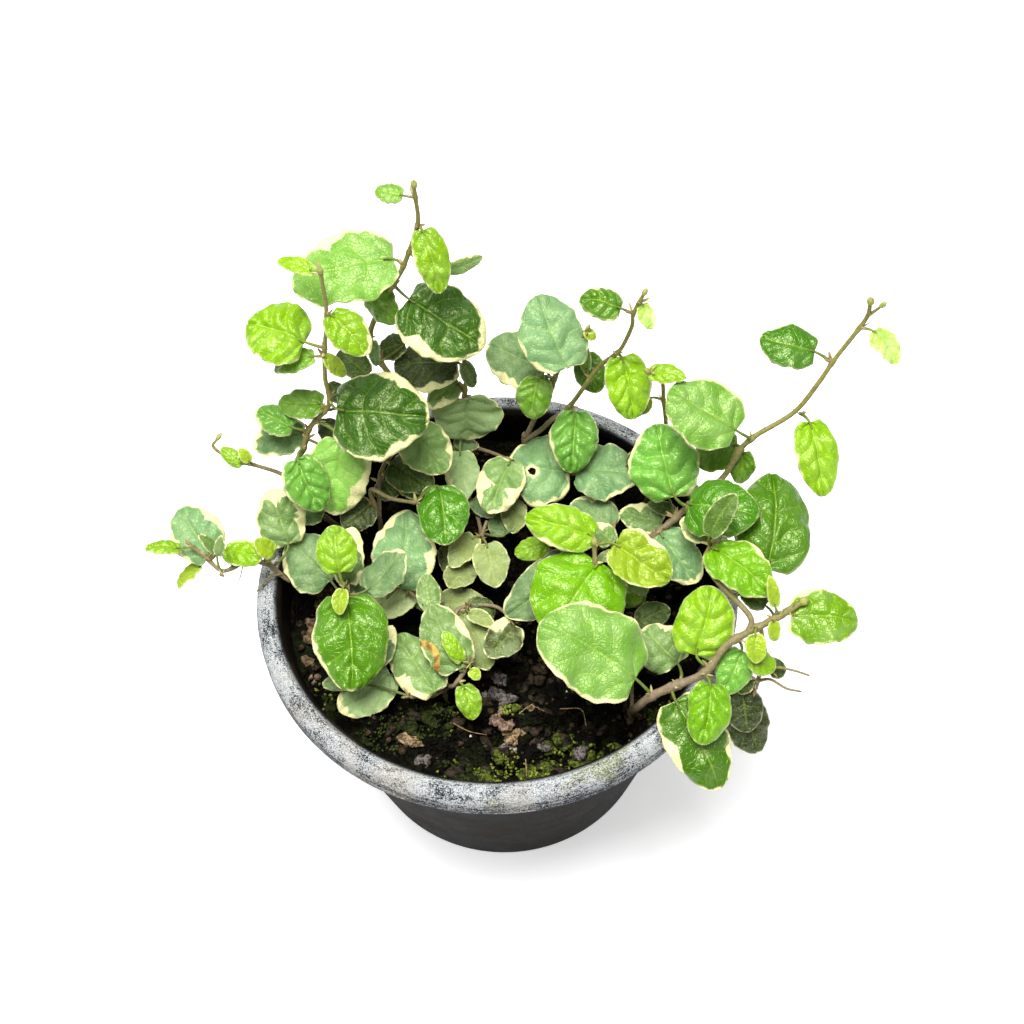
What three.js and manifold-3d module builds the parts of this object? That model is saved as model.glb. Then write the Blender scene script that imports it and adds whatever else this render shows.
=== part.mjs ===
// A variegated creeping fig growing in a round nursery pot.
// Millimetres, +Z up, origin at the middle of the pot's underside, -Y towards the viewer.
// Every leaf is given by the place where its stalk joins the blade, the place of its tip and its
// width. A shoot and all its leaves are one body, and its root stands in a plain hole in the soil.

import * as THREE from "three";
import { mergeVertices } from "three/addons/utils/BufferGeometryUtils.js";
import Module from "manifold-3d";

const wasm = await Module();
wasm.setup();
const { Manifold, Mesh } = wasm;

// Pot
const POT_HEIGHT = 77.4;
const FOOT_RADIUS = 40.5;
const SHOULDER_RADIUS = 55.4;
const SHOULDER_HEIGHT = 71;
const WALL = 1.5;
const FLOOR = 2;
const RIM_RADIUS = 60;
const RIM_BEAD = 3.1;
const LIP_DROP = 7;
const LIP_WALL = 1.3;
const POT_SIDES = 36;
const DRAIN_HOLES = 6;
const DRAIN_RADIUS = 3.5;
const DRAIN_CIRCLE = 28;

// Soil
const GAP = 0.3;
const SOIL_LEVEL = 66;
const SOIL_RINGS = 3;
const SOIL_SECTORS = POT_SIDES;
const HOLE_BOTTOM = 58.6;
const HOLE_GAP = 0.55;
const ROOT_END = 59;
const COLLAR = 67;

// Leaves and stems
const BLADE_THICKNESS = 0.8;
const STALK_RADIUS = 0.45;
const STALK_TAPER = 0.65;
const SMALL_LEAF = 10.5;
const TOLERANCE = 0.05;
const LIGHT = new THREE.Vector3(0, -0.3, 1).normalize();

// How a blade is bent: arch along its rib, fold of its edges (up is positive), wave of its edges
const YOUNG = { arch: 0.06, fold: 0.12, wave: 0.03, colour: 0x9ccb1f };
const FRESH = { arch: 0.10, fold: -0.08, wave: 0.04, colour: 0x6fb52a };
const SMOOTH = { arch: 0.10, fold: -0.08, wave: 0.03, colour: 0x7cc71c };
const DARK = { arch: 0.10, fold: -0.10, wave: 0.03, colour: 0x3f7d22 };
const MID = { arch: 0.08, fold: -0.08, wave: 0.04, colour: 0x5c962e };
const CREAM = { arch: 0.06, fold: -0.06, wave: 0.05, colour: 0x86ad5f };
const GREY = { arch: 0.04, fold: -0.05, wave: 0.05, colour: 0x74966a };
const SHADED = { arch: 0.05, fold: -0.06, wave: 0.04, colour: 0x3c5a1e };
const DRY = { arch: 0.03, fold: 0.10, wave: 0.05, colour: 0x9aa56b };
const UNDER = { arch: 0.05, fold: 0.08, wave: 0.03, colour: 0x6d8f1e };

const stem = (points, thick, thin) => ({ points, thick, thin });
const planted = (x, y, points, thick, thin) => stem([[x, y, ROOT_END], [x, y, COLLAR], ...points], thick, thin);
const leaf = (base, tip, width, look, turn = 0) => ({ base, tip, width, look, turn });

const SHOOTS = {
  shoot_back_left: {
    stems: [
      planted(-17, 46, [[-16, 39, 80], [-22, 43, 101], [-28, 47, 114], [-26, 48, 122],
            [-21, 48, 132], [-18, 48, 138], [-15, 48, 146], [-13, 48, 153], [-13, 48, 160], [-13, 48, 163]], 1.0, 0.5),
    ],
    leaves: [
      leaf([-16, 49, 160], [-22, 51, 160], 5, YOUNG),
      leaf([-12, 47, 151], [-9, 37, 141], 8, FRESH),
      leaf([-8, 44, 141], [1, 46, 143], 4, CREAM, 60),
      leaf([-20, 50, 140], [-44, 46, 137], 19, CREAM),
      leaf([-26, 50, 131], [-21, 43, 125], 8, MID, 35),
      leaf([-17, 45, 131], [0, 35, 124], 19, DARK),
      leaf([-27, 46, 116], [-27, 44, 109], 3, GREY),
      leaf([-20, 50, 110], [-27, 50, 107], 7, SHADED),
    ],
  },
  shoot_left: {
    stems: [
      planted(-39, 23, [[-42, 21, 76], [-49, 23, 86], [-49, 27, 92], [-46, 28, 98],
            [-44, 30, 103], [-38, 31, 111], [-38, 32, 119], [-37, 33, 128], [-35, 34, 140], [-35, 36, 150]], 1.0, 0.5),
      stem([[-49, 23, 86], [-52, 27, 88], [-59, 28, 92], [-65, 29, 94], [-69, 31, 97], [-68, 32, 98]], 0.7, 0.4),
    ],
    leaves: [
      leaf([-37, 38, 149], [-45, 42, 149], 4, YOUNG),
      leaf([-34, 34, 139], [-26, 27, 133], 9, FRESH),
      leaf([-42, 35, 129], [-55, 40, 131], 16, FRESH),
      leaf([-40, 33, 126], [-50, 34, 121], 6, MID),
      leaf([-37, 32, 127], [-33, 31, 121], 4, YOUNG),
      leaf([-36, 28, 112], [-14, 25, 112], 23, DARK),
      leaf([-40, 32, 110], [-51, 35, 108], 8, MID),
      leaf([-48, 29, 105], [-57, 34, 106], 8, DARK),
      leaf([-46, 32, 99], [-59, 31, 96], 10, GREY),
      leaf([-47, 23, 100], [-42, 13, 92], 11, MID),
      leaf([-36, 27, 101], [-40, 16, 86], 16, CREAM),
      leaf([-43, 18, 83], [-55, 22, 83], 8, GREY),
      leaf([-36, 37, 105], [-39, 42, 106], 5, SHADED),
      leaf([-29, 39, 112], [-36, 47, 112], 7, SHADED),
      leaf([-36, 27, 98], [-42, 37, 98], 7, SHADED),
      leaf([-62, 27, 94], [-67, 31, 96], 4, FRESH),
      leaf([-60, 27, 95], [-62, 29, 98], 3, YOUNG),
    ],
  },
  shoot_far_left: {
    stems: [
      planted(-46, 5, [[-47, 3, 71], [-49, 3, 75], [-52, 3, 77], [-57, 5, 82],
            [-62, 4, 84], [-67, 2, 84], [-71, 5, 86], [-74, 7, 88]], 0.9, 0.5),
    ],
    leaves: [
      leaf([-70, 6, 85], [-78, 19, 88], 13, CREAM),
      leaf([-77, 6, 89], [-85, 6, 90], 5, FRESH, 30),
      leaf([-73, 5, 82], [-79, 1, 79], 5, YOUNG, 30),
      leaf([-68, 5, 88], [-71, 6, 94], 3, CREAM),
      leaf([-67, 2, 91], [-65, 4, 96], 3, CREAM),
      leaf([-66, 6, 87], [-57, 2, 88], 7, FRESH),
      leaf([-54, 4, 88], [-58, 5, 92], 5, YOUNG),
      leaf([-51, 10, 83], [-55, 21, 91], 12, CREAM),
    ],
  },
  tuft_left: {
    stems: [
      planted(-37, -7, [[-36, -9, 78], [-36, -8, 89]], 0.9, 0.6),
    ],
    leaves: [
      leaf([-41, 1, 79], [-51, 13, 81], 15, GREY),
      leaf([-37, -6, 93], [-38, 4, 98], 10, YOUNG),
      leaf([-36, -11, 93], [-37, -16, 90], 4, YOUNG),
      leaf([-36, -10, 88], [-35, -31, 80], 18, FRESH),
      leaf([-36, -3, 83], [-35, 11, 87], 8, CREAM),
      leaf([-31, -7, 86], [-22, 1, 90], 10, GREY, -15),
      leaf([-29, -21, 75], [-26, -12, 77], 6, GREY),
    ],
  },
  tuft_middle: {
    stems: [
      planted(-30, 19, [[-29, 19, 78], [-30, 20, 90], [-25, 17, 90], [-19, 16, 89]], 0.9, 0.5),
      stem([[-29, 19, 80], [-28, 27, 87], [-23, 32, 94]], 0.7, 0.5),
      stem([[-30, 19, 71], [-28, 8, 73], [-26, 3, 76], [-22, -2, 77], [-18, -7, 78]], 0.7, 0.5),
    ],
    leaves: [
      leaf([-24, -2, 79], [-22, 18, 83], 16, CREAM),
      leaf([-30, -6, 74], [-19, -1, 75], 8, DRY),
      leaf([-31, 20, 84], [-38, 15, 82], 9, SHADED),
      leaf([-20, 32, 98], [-11, 23, 92], 13, CREAM),
      leaf([-25, 29, 89], [-15, 21, 88], 10, SHADED),
      leaf([-23, 27, 85], [-17, 21, 84], 7, CREAM),
      leaf([-13, 20, 90], [-12, 5, 86], 13, SMOOTH),
      leaf([-16, -9, 79], [-17, 0, 81], 6, CREAM),
    ],
  },
  shoot_back_middle: {
    stems: [
      planted(-7, 45, [[-7, 42, 84], [-6, 43, 95], [-5, 42, 105], [-5, 42, 114]], 1.0, 0.5),
      stem([[-7, 43, 77], [0, 36, 82], [5, 30, 86]], 0.6, 0.5),
      stem([[-7, 44, 70], [-7, 32, 73], [-4, 20, 75], [-3, 10, 77]], 0.8, 0.5),
    ],
    leaves: [
      leaf([-7, 45, 108], [-23, 47, 105], 15, DARK),
      leaf([-7, 45, 100], [-15, 40, 97], 7, CREAM),
      leaf([-5, 42, 97], [-5, 39, 84], 18, GREY),
      leaf([-5, 40, 113], [-3, 39, 105], 4, SHADED),
      leaf([-9, 40, 82], [-3, 39, 81], 4, GREY),
      leaf([-8, 36, 83], [-8, 23, 79], 9, GREY),
      leaf([5, 29, 87], [-1, 16, 83], 12, CREAM),
      leaf([-5, 25, 77], [0, 19, 77], 5, GREY),
      leaf([-5, 11, 80], [-11, 3, 79], 7, DRY),
      leaf([-2, 8, 81], [0, -3, 78], 9, DRY),
      leaf([-7, 6, 76], [-12, -1, 76], 8, DRY),
    ],
  },
  shoot_back_right: {
    stems: [
      planted(9, 38, [[9, 36, 76], [9, 37, 86]], 1.0, 0.9),
      stem([[9, 37, 85], [12, 38, 93], [16, 39, 102], [18, 40, 108], [22, 42, 113], [25, 43, 119]], 0.8, 0.4),
      stem([[9, 37, 85], [13, 36, 90], [16, 36, 94], [20, 37, 97], [24, 36, 106], [28, 36, 114],
            [32, 34, 121], [33, 34, 123], [35, 34, 130], [35, 33, 135], [37, 33, 141]], 0.8, 0.5),
      stem([[9, 36, 77], [15, 30, 81], [22, 26, 84]], 0.7, 0.5),
    ],
    leaves: [
      leaf([20, 27, 84], [4, 30, 84], 19, CREAM),
      leaf([5, 23, 78], [5, 15, 75], 7, DRY),
      leaf([22, 26, 86], [37, 22, 88], 15, GREY),
      leaf([15, 45, 103], [1, 51, 107], 16, GREY),
      leaf([13, 39, 107], [11, 32, 100], 9, MID),
      leaf([20, 36, 114], [14, 52, 123], 16, CREAM),
      leaf([25, 39, 109], [24, 43, 116], 3, MID),
      leaf([25, 43, 119], [27, 41, 118], 3, YOUNG),
      leaf([25, 44, 109], [28, 37, 103], 8, DARK),
      leaf([32, 34, 136], [23, 37, 137], 8, FRESH),
      leaf([37, 33, 138], [39, 29, 134], 4, CREAM),
      leaf([33, 34, 119], [35, 23, 109], 11, FRESH),
      leaf([22, 36, 97], [20, 23, 89], 12, DARK),
    ],
  },
  shoot_right_thin: {
    stems: [
      planted(40, 27, [[43, 26, 84], [44, 28, 98], [43, 29, 108], [42, 29, 116], [39, 28, 120]], 0.8, 0.5),
    ],
    leaves: [
      leaf([39, 28, 120], [47, 25, 121], 5, YOUNG),
      leaf([40, 31, 107], [34, 30, 104], 7, YOUNG),
    ],
  },
  shoot_long_right: {
    stems: [
      planted(36, 13, [[37, 8, 77], [40, 6, 84], [46, 8, 90], [48, 8, 93], [56, 11, 100],
            [60, 14, 107], [63, 15, 110], [72, 17, 116], [77, 19, 124], [80, 21, 129], [86, 23, 141], [86, 23, 145]],
           1.1, 0.55),
      stem([[86, 23, 141], [88, 22, 145]], 0.5, 0.4),
    ],
    leaves: [
      leaf([42, 11, 82], [32, 15, 82], 8, CREAM),
      leaf([45, 11, 86], [39, 15, 85], 4, SHADED),
      leaf([41, 5, 86], [49, -7, 82], 12, GREY),
      leaf([58, 14, 114], [43, 23, 119], 17, CREAM),
      leaf([44, 9, 96], [41, 25, 104], 17, DARK),
      leaf([60, 19, 102], [50, 20, 96], 10, SHADED),
      leaf([61, 15, 104], [60, 11, 97], 6, MID),
      leaf([47, 4, 99], [62, -3, 103], 15, SMOOTH),
      leaf([76, 24, 129], [64, 28, 130], 11, SMOOTH),
      leaf([88, 22, 137], [93, 16, 133], 6, CREAM),
      leaf([76, 16, 113], [78, 1, 104], 10, FRESH),
    ],
  },
  tuft_centre_right: {
    stems: [
      planted(25, -3, [[25, -5, 78], [24, -6, 90], [24, -3, 94]], 0.9, 0.6),
      stem([[25, -4, 72], [29, 4, 77], [30, 11, 79]], 0.6, 0.5),
    ],
    leaves: [
      leaf([13, 5, 84], [5, 4, 82], 6, FRESH),
      leaf([20, 0, 85], [2, -12, 79], 13, GREY),
      leaf([30, 12, 80], [20, 20, 80], 10, GREY),
      leaf([29, 3, 86], [25, 9, 86], 6, CREAM),
      leaf([30, 1, 84], [25, 0, 83], 3, CREAM),
      leaf([24, 0, 94], [8, 6, 95], 11, YOUNG),
      leaf([29, -4, 96], [41, -13, 93], 13, YOUNG),
      leaf([25, -6, 91], [13, -22, 84], 23, FRESH),
      leaf([33, -6, 85], [36, -10, 82], 5, CREAM),
      leaf([30, -6, 80], [35, -10, 79], 6, SHADED),
    ],
  },
  branch_front_right: {
    stems: [
      planted(31, -34, [[32, -37, 76], [35, -37, 81], [41, -36, 84], [47, -35, 87], [52, -31, 92],
            [57, -29, 94], [61, -28, 96], [64, -27, 97], [69, -25, 99]], 1.3, 0.8),
      stem([[57, -29, 94], [58, -27, 96], [55, -22, 97], [51, -17, 98], [49, -11, 98], [51, -8, 99]], 0.8, 0.6),
      stem([[31, -34, 70], [32, -24, 73], [34, -16, 76]], 0.6, 0.5),
      stem([[60, -28, 95], [61, -32, 89], [59, -37, 82]], 0.6, 0.5),
    ],
    leaves: [
      leaf([31, -35, 86], [10, -23, 94], 20, CREAM),
      leaf([34, -15, 77], [42, -11, 77], 7, SHADED),
      leaf([42, -28, 80], [35, -19, 82], 12, CREAM),
      leaf([63, -26, 100], [62, -21, 105], 3, YOUNG),
      leaf([45, -31, 89], [50, -18, 97], 14, SMOOTH),
      leaf([67, -27, 97], [82, -29, 96], 13, CREAM),
      leaf([58, -32, 98], [58, -37, 94], 5, YOUNG),
      leaf([57, -35, 92], [63, -36, 90], 6, FRESH),
      leaf([62, -35, 87], [66, -34, 86], 5, SHADED),
      leaf([56, -31, 89], [51, -39, 84], 8, DARK),
      leaf([58, -36, 84], [55, -38, 82], 3, SHADED),
      leaf([48, -38, 87], [45, -50, 81], 10, FRESH),
      leaf([40, -40, 83], [49, -57, 72], 15, CREAM),
      leaf([56, -37, 81], [57, -44, 74], 9, SHADED),
      leaf([55, -37, 77], [60, -46, 67], 11, SHADED),
      leaf([63, -28, 97], [63, -31, 93], 3, YOUNG),
      leaf([50, -9, 105], [56, -3, 112], 6, UNDER),
      leaf([52, -3, 94], [46, 5, 92], 7, DRY),
      leaf([51, -10, 101], [62, -23, 101], 12, FRESH),
      leaf([64, -12, 94], [68, 12, 99], 18, DARK),
      leaf([62, -22, 94], [57, -18, 94], 5, SHADED),
    ],
  },
  runner_front: {
    stems: [
      planted(-14, -24, [[-11, -27, 73], [-8, -24, 76], [-7, -24, 78]], 0.8, 0.5),
      stem([[-13, -25, 68], [-17, -28, 70], [-22, -28, 70]], 0.6, 0.5),
      stem([[-14, -24, 68], [-13, -12, 69], [-10, -6, 73], [-1, -6, 74], [4, -11, 75]], 0.7, 0.5),
    ],
    leaves: [
      leaf([-27, -22, 71], [-39, -31, 70], 12, GREY),
      leaf([-37, -25, 73], [-43, -25, 73], 4, GREY),
      leaf([-15, -2, 70], [-3, -3, 71], 8, DRY),
      leaf([-10, -25, 77], [-16, -9, 81], 12, CREAM),
      leaf([-9, -24, 79], [-13, -18, 83], 4, FRESH),
      leaf([-16, -28, 72], [-25, -13, 74], 12, CREAM),
      leaf([-9, -7, 72], [-3, -23, 72], 10, DRY),
      leaf([-7, -9, 76], [-1, -13, 76], 4, DRY),
      leaf([4, -13, 76], [-3, -22, 77], 9, DRY),
      leaf([-9, -28, 74], [-7, -35, 70], 6, FRESH),
      leaf([-7, -26, 78], [-5, -28, 77], 3, YOUNG),
    ],
  },
};

// A solid from loose points and triangles, turned inside out if its faces point inwards
function solid(points, triangles) {
  let volume = 0;
  for (const [i, j, k] of triangles) {
    volume += points[i].dot(new THREE.Vector3().crossVectors(points[j], points[k]));
  }
  const order = volume < 0 ? ([i, j, k]) => [i, k, j] : ([i, j, k]) => [i, j, k];
  const vertProperties = new Float32Array(points.flatMap((p) => [p.x, p.y, p.z]));
  const triVerts = new Uint32Array(triangles.flatMap(order));
  return new Manifold(new Mesh({ numProp: 3, vertProperties, triVerts }));
}

// A solid from one of three.js's closed geometries
function solidFrom(geometry) {
  geometry.deleteAttribute("normal");
  geometry.deleteAttribute("uv");
  const merged = mergeVertices(geometry, 1e-4);
  const position = merged.attributes.position;
  const points = Array.from({ length: position.count }, (_, i) => new THREE.Vector3().fromBufferAttribute(position, i));
  const triangles = [];
  for (let i = 0; i < merged.index.count; i += 3) {
    const corners = [merged.index.getX(i), merged.index.getX(i + 1), merged.index.getX(i + 2)];
    if (new Set(corners).size === 3) {
      triangles.push(corners);
    }
  }
  return solid(points, triangles);
}

// A named mesh from a solid
function meshFrom(name, body, material) {
  const shape = body.getMesh();
  const geometry = new THREE.BufferGeometry();
  geometry.setAttribute("position", new THREE.BufferAttribute(new Float32Array(shape.vertProperties), 3));
  geometry.setIndex(new THREE.BufferAttribute(new Uint32Array(shape.triVerts), 1));
  geometry.computeVertexNormals();
  const mesh = new THREE.Mesh(geometry, material);
  mesh.name = name;
  return mesh;
}

// Radius of the pot's outer wall at a height
function wallRadius(height) {
  return FOOT_RADIUS + ((SHOULDER_RADIUS - FOOT_RADIUS) * height) / SHOULDER_HEIGHT;
}

// An upright cylinder between two heights
function upright(x, y, low, high, radius, sides) {
  const geometry = new THREE.CylinderGeometry(radius, radius, high - low, sides);
  geometry.rotateX(Math.PI / 2);
  geometry.translate(x, y, (low + high) / 2);
  return solidFrom(geometry);
}

// The pot: a tapered cup whose rim rolls over outwards into a lip, with drain holes in its floor
function pot() {
  const beadCentre = RIM_RADIUS - RIM_BEAD;
  const beadHeight = POT_HEIGHT - RIM_BEAD;
  const profile = [
    [0, 0], [FOOT_RADIUS - 1, 0], [FOOT_RADIUS, 1], [SHOULDER_RADIUS, SHOULDER_HEIGHT],
    [beadCentre, beadHeight - 0.8], [beadCentre + 1.2, beadHeight + 1.2],
    [RIM_RADIUS - LIP_WALL, beadHeight - 0.6], [RIM_RADIUS - LIP_WALL, POT_HEIGHT - LIP_DROP],
    [RIM_RADIUS, POT_HEIGHT - LIP_DROP],
  ];
  for (const degrees of [0, 35, 70, 105, 140, 180]) {
    const angle = THREE.MathUtils.degToRad(degrees);
    profile.push([beadCentre + RIM_BEAD * Math.cos(angle), beadHeight + RIM_BEAD * Math.sin(angle)]);
  }
  profile.push([SHOULDER_RADIUS - WALL, SHOULDER_HEIGHT], [wallRadius(FLOOR) - WALL, FLOOR], [0, FLOOR]);
  const cup = new THREE.LatheGeometry(profile.map(([r, z]) => new THREE.Vector2(r, z)), POT_SIDES);
  cup.rotateX(Math.PI / 2);
  let body = solidFrom(cup);
  for (let i = 0; i < DRAIN_HOLES; i++) {
    const angle = (2 * Math.PI * (i + 0.5)) / DRAIN_HOLES;
    const [x, y] = [DRAIN_CIRCLE * Math.cos(angle), DRAIN_CIRCLE * Math.sin(angle)];
    body = body.subtract(upright(x, y, -1, FLOOR + 1, DRAIN_RADIUS, 12));
  }
  return body;
}

// Height of the soil's lumpy top
function soilTop(x, y) {
  const lumps = 0.7 * Math.sin(0.21 * x + 0.6) * Math.cos(0.17 * y - 0.4) + 0.5 * Math.sin(0.43 * x - 0.31 * y);
  const heap = 1.2 * Math.exp(-((x + 44) ** 2 + (y + 8) ** 2) / 90);
  return SOIL_LEVEL + lumps + heap;
}

// The soil: a plug that fills the pot, with a hole for each root
function soil() {
  const low = FLOOR + GAP;
  const points = [new THREE.Vector3(0, 0, low), new THREE.Vector3(0, 0, soilTop(0, 0))];
  const corner = (ring, sector) => 2 + ring * SOIL_SECTORS + (sector % SOIL_SECTORS);
  for (let ring = 0; ring <= SOIL_RINGS; ring++) {
    const floorRing = ring === 0;
    const reach = floorRing ? wallRadius(low) - WALL - GAP : wallRadius(SOIL_LEVEL) - WALL - GAP;
    const radius = floorRing ? reach : (reach * (SOIL_RINGS + 1 - ring)) / SOIL_RINGS;
    for (let sector = 0; sector < SOIL_SECTORS; sector++) {
      const angle = (2 * Math.PI * sector) / SOIL_SECTORS;
      const [x, y] = [radius * Math.cos(angle), radius * Math.sin(angle)];
      const edge = ring === 1;
      points.push(new THREE.Vector3(x, y, floorRing ? low : edge ? SOIL_LEVEL : soilTop(x, y)));
    }
  }
  const triangles = [];
  for (let sector = 0; sector < SOIL_SECTORS; sector++) {
    triangles.push([0, corner(0, sector + 1), corner(0, sector)]);
    triangles.push([1, corner(SOIL_RINGS, sector), corner(SOIL_RINGS, sector + 1)]);
    for (let ring = 0; ring < SOIL_RINGS; ring++) {
      triangles.push([corner(ring, sector), corner(ring, sector + 1), corner(ring + 1, sector)]);
      triangles.push([corner(ring, sector + 1), corner(ring + 1, sector + 1), corner(ring + 1, sector)]);
    }
  }
  let body = solid(points, triangles);
  for (const { stems } of Object.values(SHOOTS)) {
    const [x, y] = stems[0].points[0];
    body = body.subtract(upright(x, y, HOLE_BOTTOM, SOIL_LEVEL + 5, stems[0].thick + HOLE_GAP, 8));
  }
  return body;
}

// A tapered round rod along a curve
function rod(curve, thick, thin, steps, sides) {
  const frames = curve.computeFrenetFrames(steps, false);
  const points = [curve.getPoint(0)];
  const triangles = [];
  for (let i = 0; i <= steps; i++) {
    const centre = curve.getPoint(i / steps);
    const radius = thick + ((thin - thick) * i) / steps;
    for (let j = 0; j < sides; j++) {
      const angle = (2 * Math.PI * j) / sides;
      const out = frames.normals[i].clone().multiplyScalar(radius * Math.cos(angle));
      out.addScaledVector(frames.binormals[i], radius * Math.sin(angle));
      points.push(centre.clone().add(out));
    }
  }
  const end = points.push(curve.getPoint(1)) - 1;
  const corner = (i, j) => 1 + i * sides + (j % sides);
  for (let j = 0; j < sides; j++) {
    triangles.push([0, corner(0, j + 1), corner(0, j)], [end, corner(steps, j), corner(steps, j + 1)]);
    for (let i = 0; i < steps; i++) {
      triangles.push([corner(i, j), corner(i, j + 1), corner(i + 1, j)]);
      triangles.push([corner(i, j + 1), corner(i + 1, j + 1), corner(i + 1, j)]);
    }
  }
  return solid(points, triangles);
}

// The curve that a stem follows
function stemCurve({ points }) {
  return new THREE.CatmullRomCurve3(points.map((p) => new THREE.Vector3(...p)));
}

// A leaf's own directions: along its rib, across it, and out of its upper face
function bladeFrame({ base, tip, turn }) {
  const start = new THREE.Vector3(...base);
  const along = new THREE.Vector3(...tip).sub(start);
  const length = along.length();
  along.divideScalar(length);
  const out = LIGHT.clone().addScaledVector(along, -LIGHT.dot(along)).normalize();
  const across = new THREE.Vector3().crossVectors(out, along);
  const angle = THREE.MathUtils.degToRad(turn);
  const side = across.clone().multiplyScalar(Math.cos(angle)).addScaledVector(out, Math.sin(angle));
  const face = out.clone().multiplyScalar(Math.cos(angle)).addScaledVector(across, -Math.sin(angle));
  return { start, along, side, face, length };
}

// A point of a blade's middle surface: s runs from base to tip, t from edge to edge
function bladePoint(leafEntry, frame, s, t) {
  const { arch, fold, wave } = leafEntry.look;
  const { start, along, side, face, length } = frame;
  const [x, y, z] = leafEntry.base;
  const half = (leafEntry.width / 2) * Math.sin(Math.PI * s ** 0.8) ** 0.6;
  const phase = 7 * x + 13 * y + 17 * z;
  const lobe = 0.08 * length * t * t * (1 - s) ** 3;
  const ripple = wave * Math.sin(4 * Math.PI * s + phase + Math.sign(t));
  const lift = arch * length * 4 * s * (1 - s) + (fold + ripple) * 2 * half * t * t;
  return start.clone().addScaledVector(along, length * s - lobe).addScaledVector(side, half * t).addScaledVector(face, lift);
}

// A thin arched blade, split into triangles alike on both faces
function blade(leafEntry) {
  const frame = bladeFrame(leafEntry);
  const stations = frame.length > SMALL_LEAF ? 4 : 2;
  const middle = [bladePoint(leafEntry, frame, 0, 0)];
  for (let i = 1; i <= stations; i++) {
    const s = (1 - Math.cos((Math.PI * i) / (stations + 1))) / 2;
    for (const t of [-1, 0, 1]) {
      middle.push(bladePoint(leafEntry, frame, s, t));
    }
  }
  const tip = middle.push(bladePoint(leafEntry, frame, 1, 0)) - 1;
  const face = [[0, 2, 1], [0, 3, 2]];
  const left = [0];
  const right = [];
  for (let i = 0; i < stations; i++) {
    const [a, b, c] = [1 + 3 * i, 2 + 3 * i, 3 + 3 * i];
    left.push(a);
    right.unshift(c);
    if (i < stations - 1) {
      face.push([a, b, a + 3], [b, b + 3, a + 3], [b, c, b + 3], [c, c + 3, b + 3]);
    } else {
      face.push([a, b, tip], [b, c, tip]);
    }
  }
  const outline = [...left, tip, ...right];
  const count = middle.length;
  const raise = frame.face.clone().multiplyScalar(BLADE_THICKNESS / 2);
  const points = [...middle.map((p) => p.clone().add(raise)), ...middle.map((p) => p.clone().sub(raise))];
  const triangles = [...face, ...face.map(([i, j, k]) => [i + count, k + count, j + count])];
  outline.forEach((from, i) => {
    const to = outline[(i + 1) % outline.length];
    triangles.push([from, to, from + count], [to, to + count, from + count]);
  });
  return solid(points, triangles);
}

// The stalk from the nearest place on a stem to a blade, sunk well into both
function stalk(leafEntry, curves) {
  const frame = bladeFrame(leafEntry);
  const samples = curves.flatMap((curve) => curve.getPoints(80));
  const root = samples.reduce((best, p) => (p.distanceTo(frame.start) < best.distanceTo(frame.start) ? p : best));
  const end = bladePoint(leafEntry, frame, 0.09, 0);
  const reach = root.distanceTo(frame.start);
  const bend = frame.start.clone().addScaledVector(frame.along, -0.35 * reach);
  const curve = new THREE.QuadraticBezierCurve3(root, bend, end);
  return rod(curve, STALK_RADIUS, STALK_RADIUS * STALK_TAPER, reach > 7 ? 3 : 2, 3);
}

// A shoot: its stems, stalks and blades joined into one body
function shoot({ stems, leaves }) {
  const curves = stems.map(stemCurve);
  const rods = stems.map((entry, i) => rod(curves[i], entry.thick, entry.thin, Math.round(1.3 * entry.points.length), 5));
  return Manifold.union([...rods, ...leaves.map(blade), ...leaves.map((entry) => stalk(entry, curves))]).simplify(TOLERANCE);
}

function finish(colour, roughness) {
  return new THREE.MeshStandardMaterial({ color: colour, roughness, metalness: 0 });
}

const plant = new THREE.Group();
plant.add(meshFrom("pot", pot(), finish(0x2b2d2f, 0.55)));
plant.add(meshFrom("soil", soil(), finish(0x2a221b, 0.95)));
for (const [name, entry] of Object.entries(SHOOTS)) {
  plant.add(meshFrom(name, shoot(entry), finish(entry.leaves[1].look.colour, 0.45)));
}

export default plant;
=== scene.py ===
"""Looks for a potted variegated creeping fig: its leaves, stems, soil, pot, light and camera.

Lengths in the plant's tables are millimetres, as on a drawing; Blender's own are metres, +Z up.
"""

import math
import random

import bpy
from mathutils import Matrix, Vector, noise


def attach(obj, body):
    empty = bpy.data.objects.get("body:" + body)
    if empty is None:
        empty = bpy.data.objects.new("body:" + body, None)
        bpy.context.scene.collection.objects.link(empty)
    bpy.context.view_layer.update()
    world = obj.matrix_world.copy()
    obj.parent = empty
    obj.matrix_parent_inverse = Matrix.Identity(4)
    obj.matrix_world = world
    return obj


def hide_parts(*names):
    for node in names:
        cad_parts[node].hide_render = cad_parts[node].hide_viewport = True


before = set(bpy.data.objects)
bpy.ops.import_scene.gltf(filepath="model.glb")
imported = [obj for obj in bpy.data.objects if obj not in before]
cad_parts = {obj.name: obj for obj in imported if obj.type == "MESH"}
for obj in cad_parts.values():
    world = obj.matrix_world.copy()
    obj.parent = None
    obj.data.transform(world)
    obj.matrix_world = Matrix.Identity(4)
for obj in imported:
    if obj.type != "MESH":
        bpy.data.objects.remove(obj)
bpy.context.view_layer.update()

bl_info = {
    "name": "Potted creeping fig",
    "version": (1, 0, 0),
    "blender": (4, 5, 0),
    "location": "3D View > Sidebar > Fig",
    "description": "Builds a variegated creeping fig in its nursery pot",
    "category": "Object",
}

MM = 0.001
LITTER_SEED, SHOOT_SEED = 4, 11
UP = Vector((0, 0, 1))
LIGHT = Vector((0, -0.3, 1)).normalized()  # the blades turn their faces this way


def srgb(*channels):
    """A screen colour, 0 to 255, as the linear colour that Blender's sockets take."""
    return tuple(((c / 255 + 0.055) / 1.055) ** 2.4 if c > 10 else c / 255 / 12.92 for c in channels)


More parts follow.
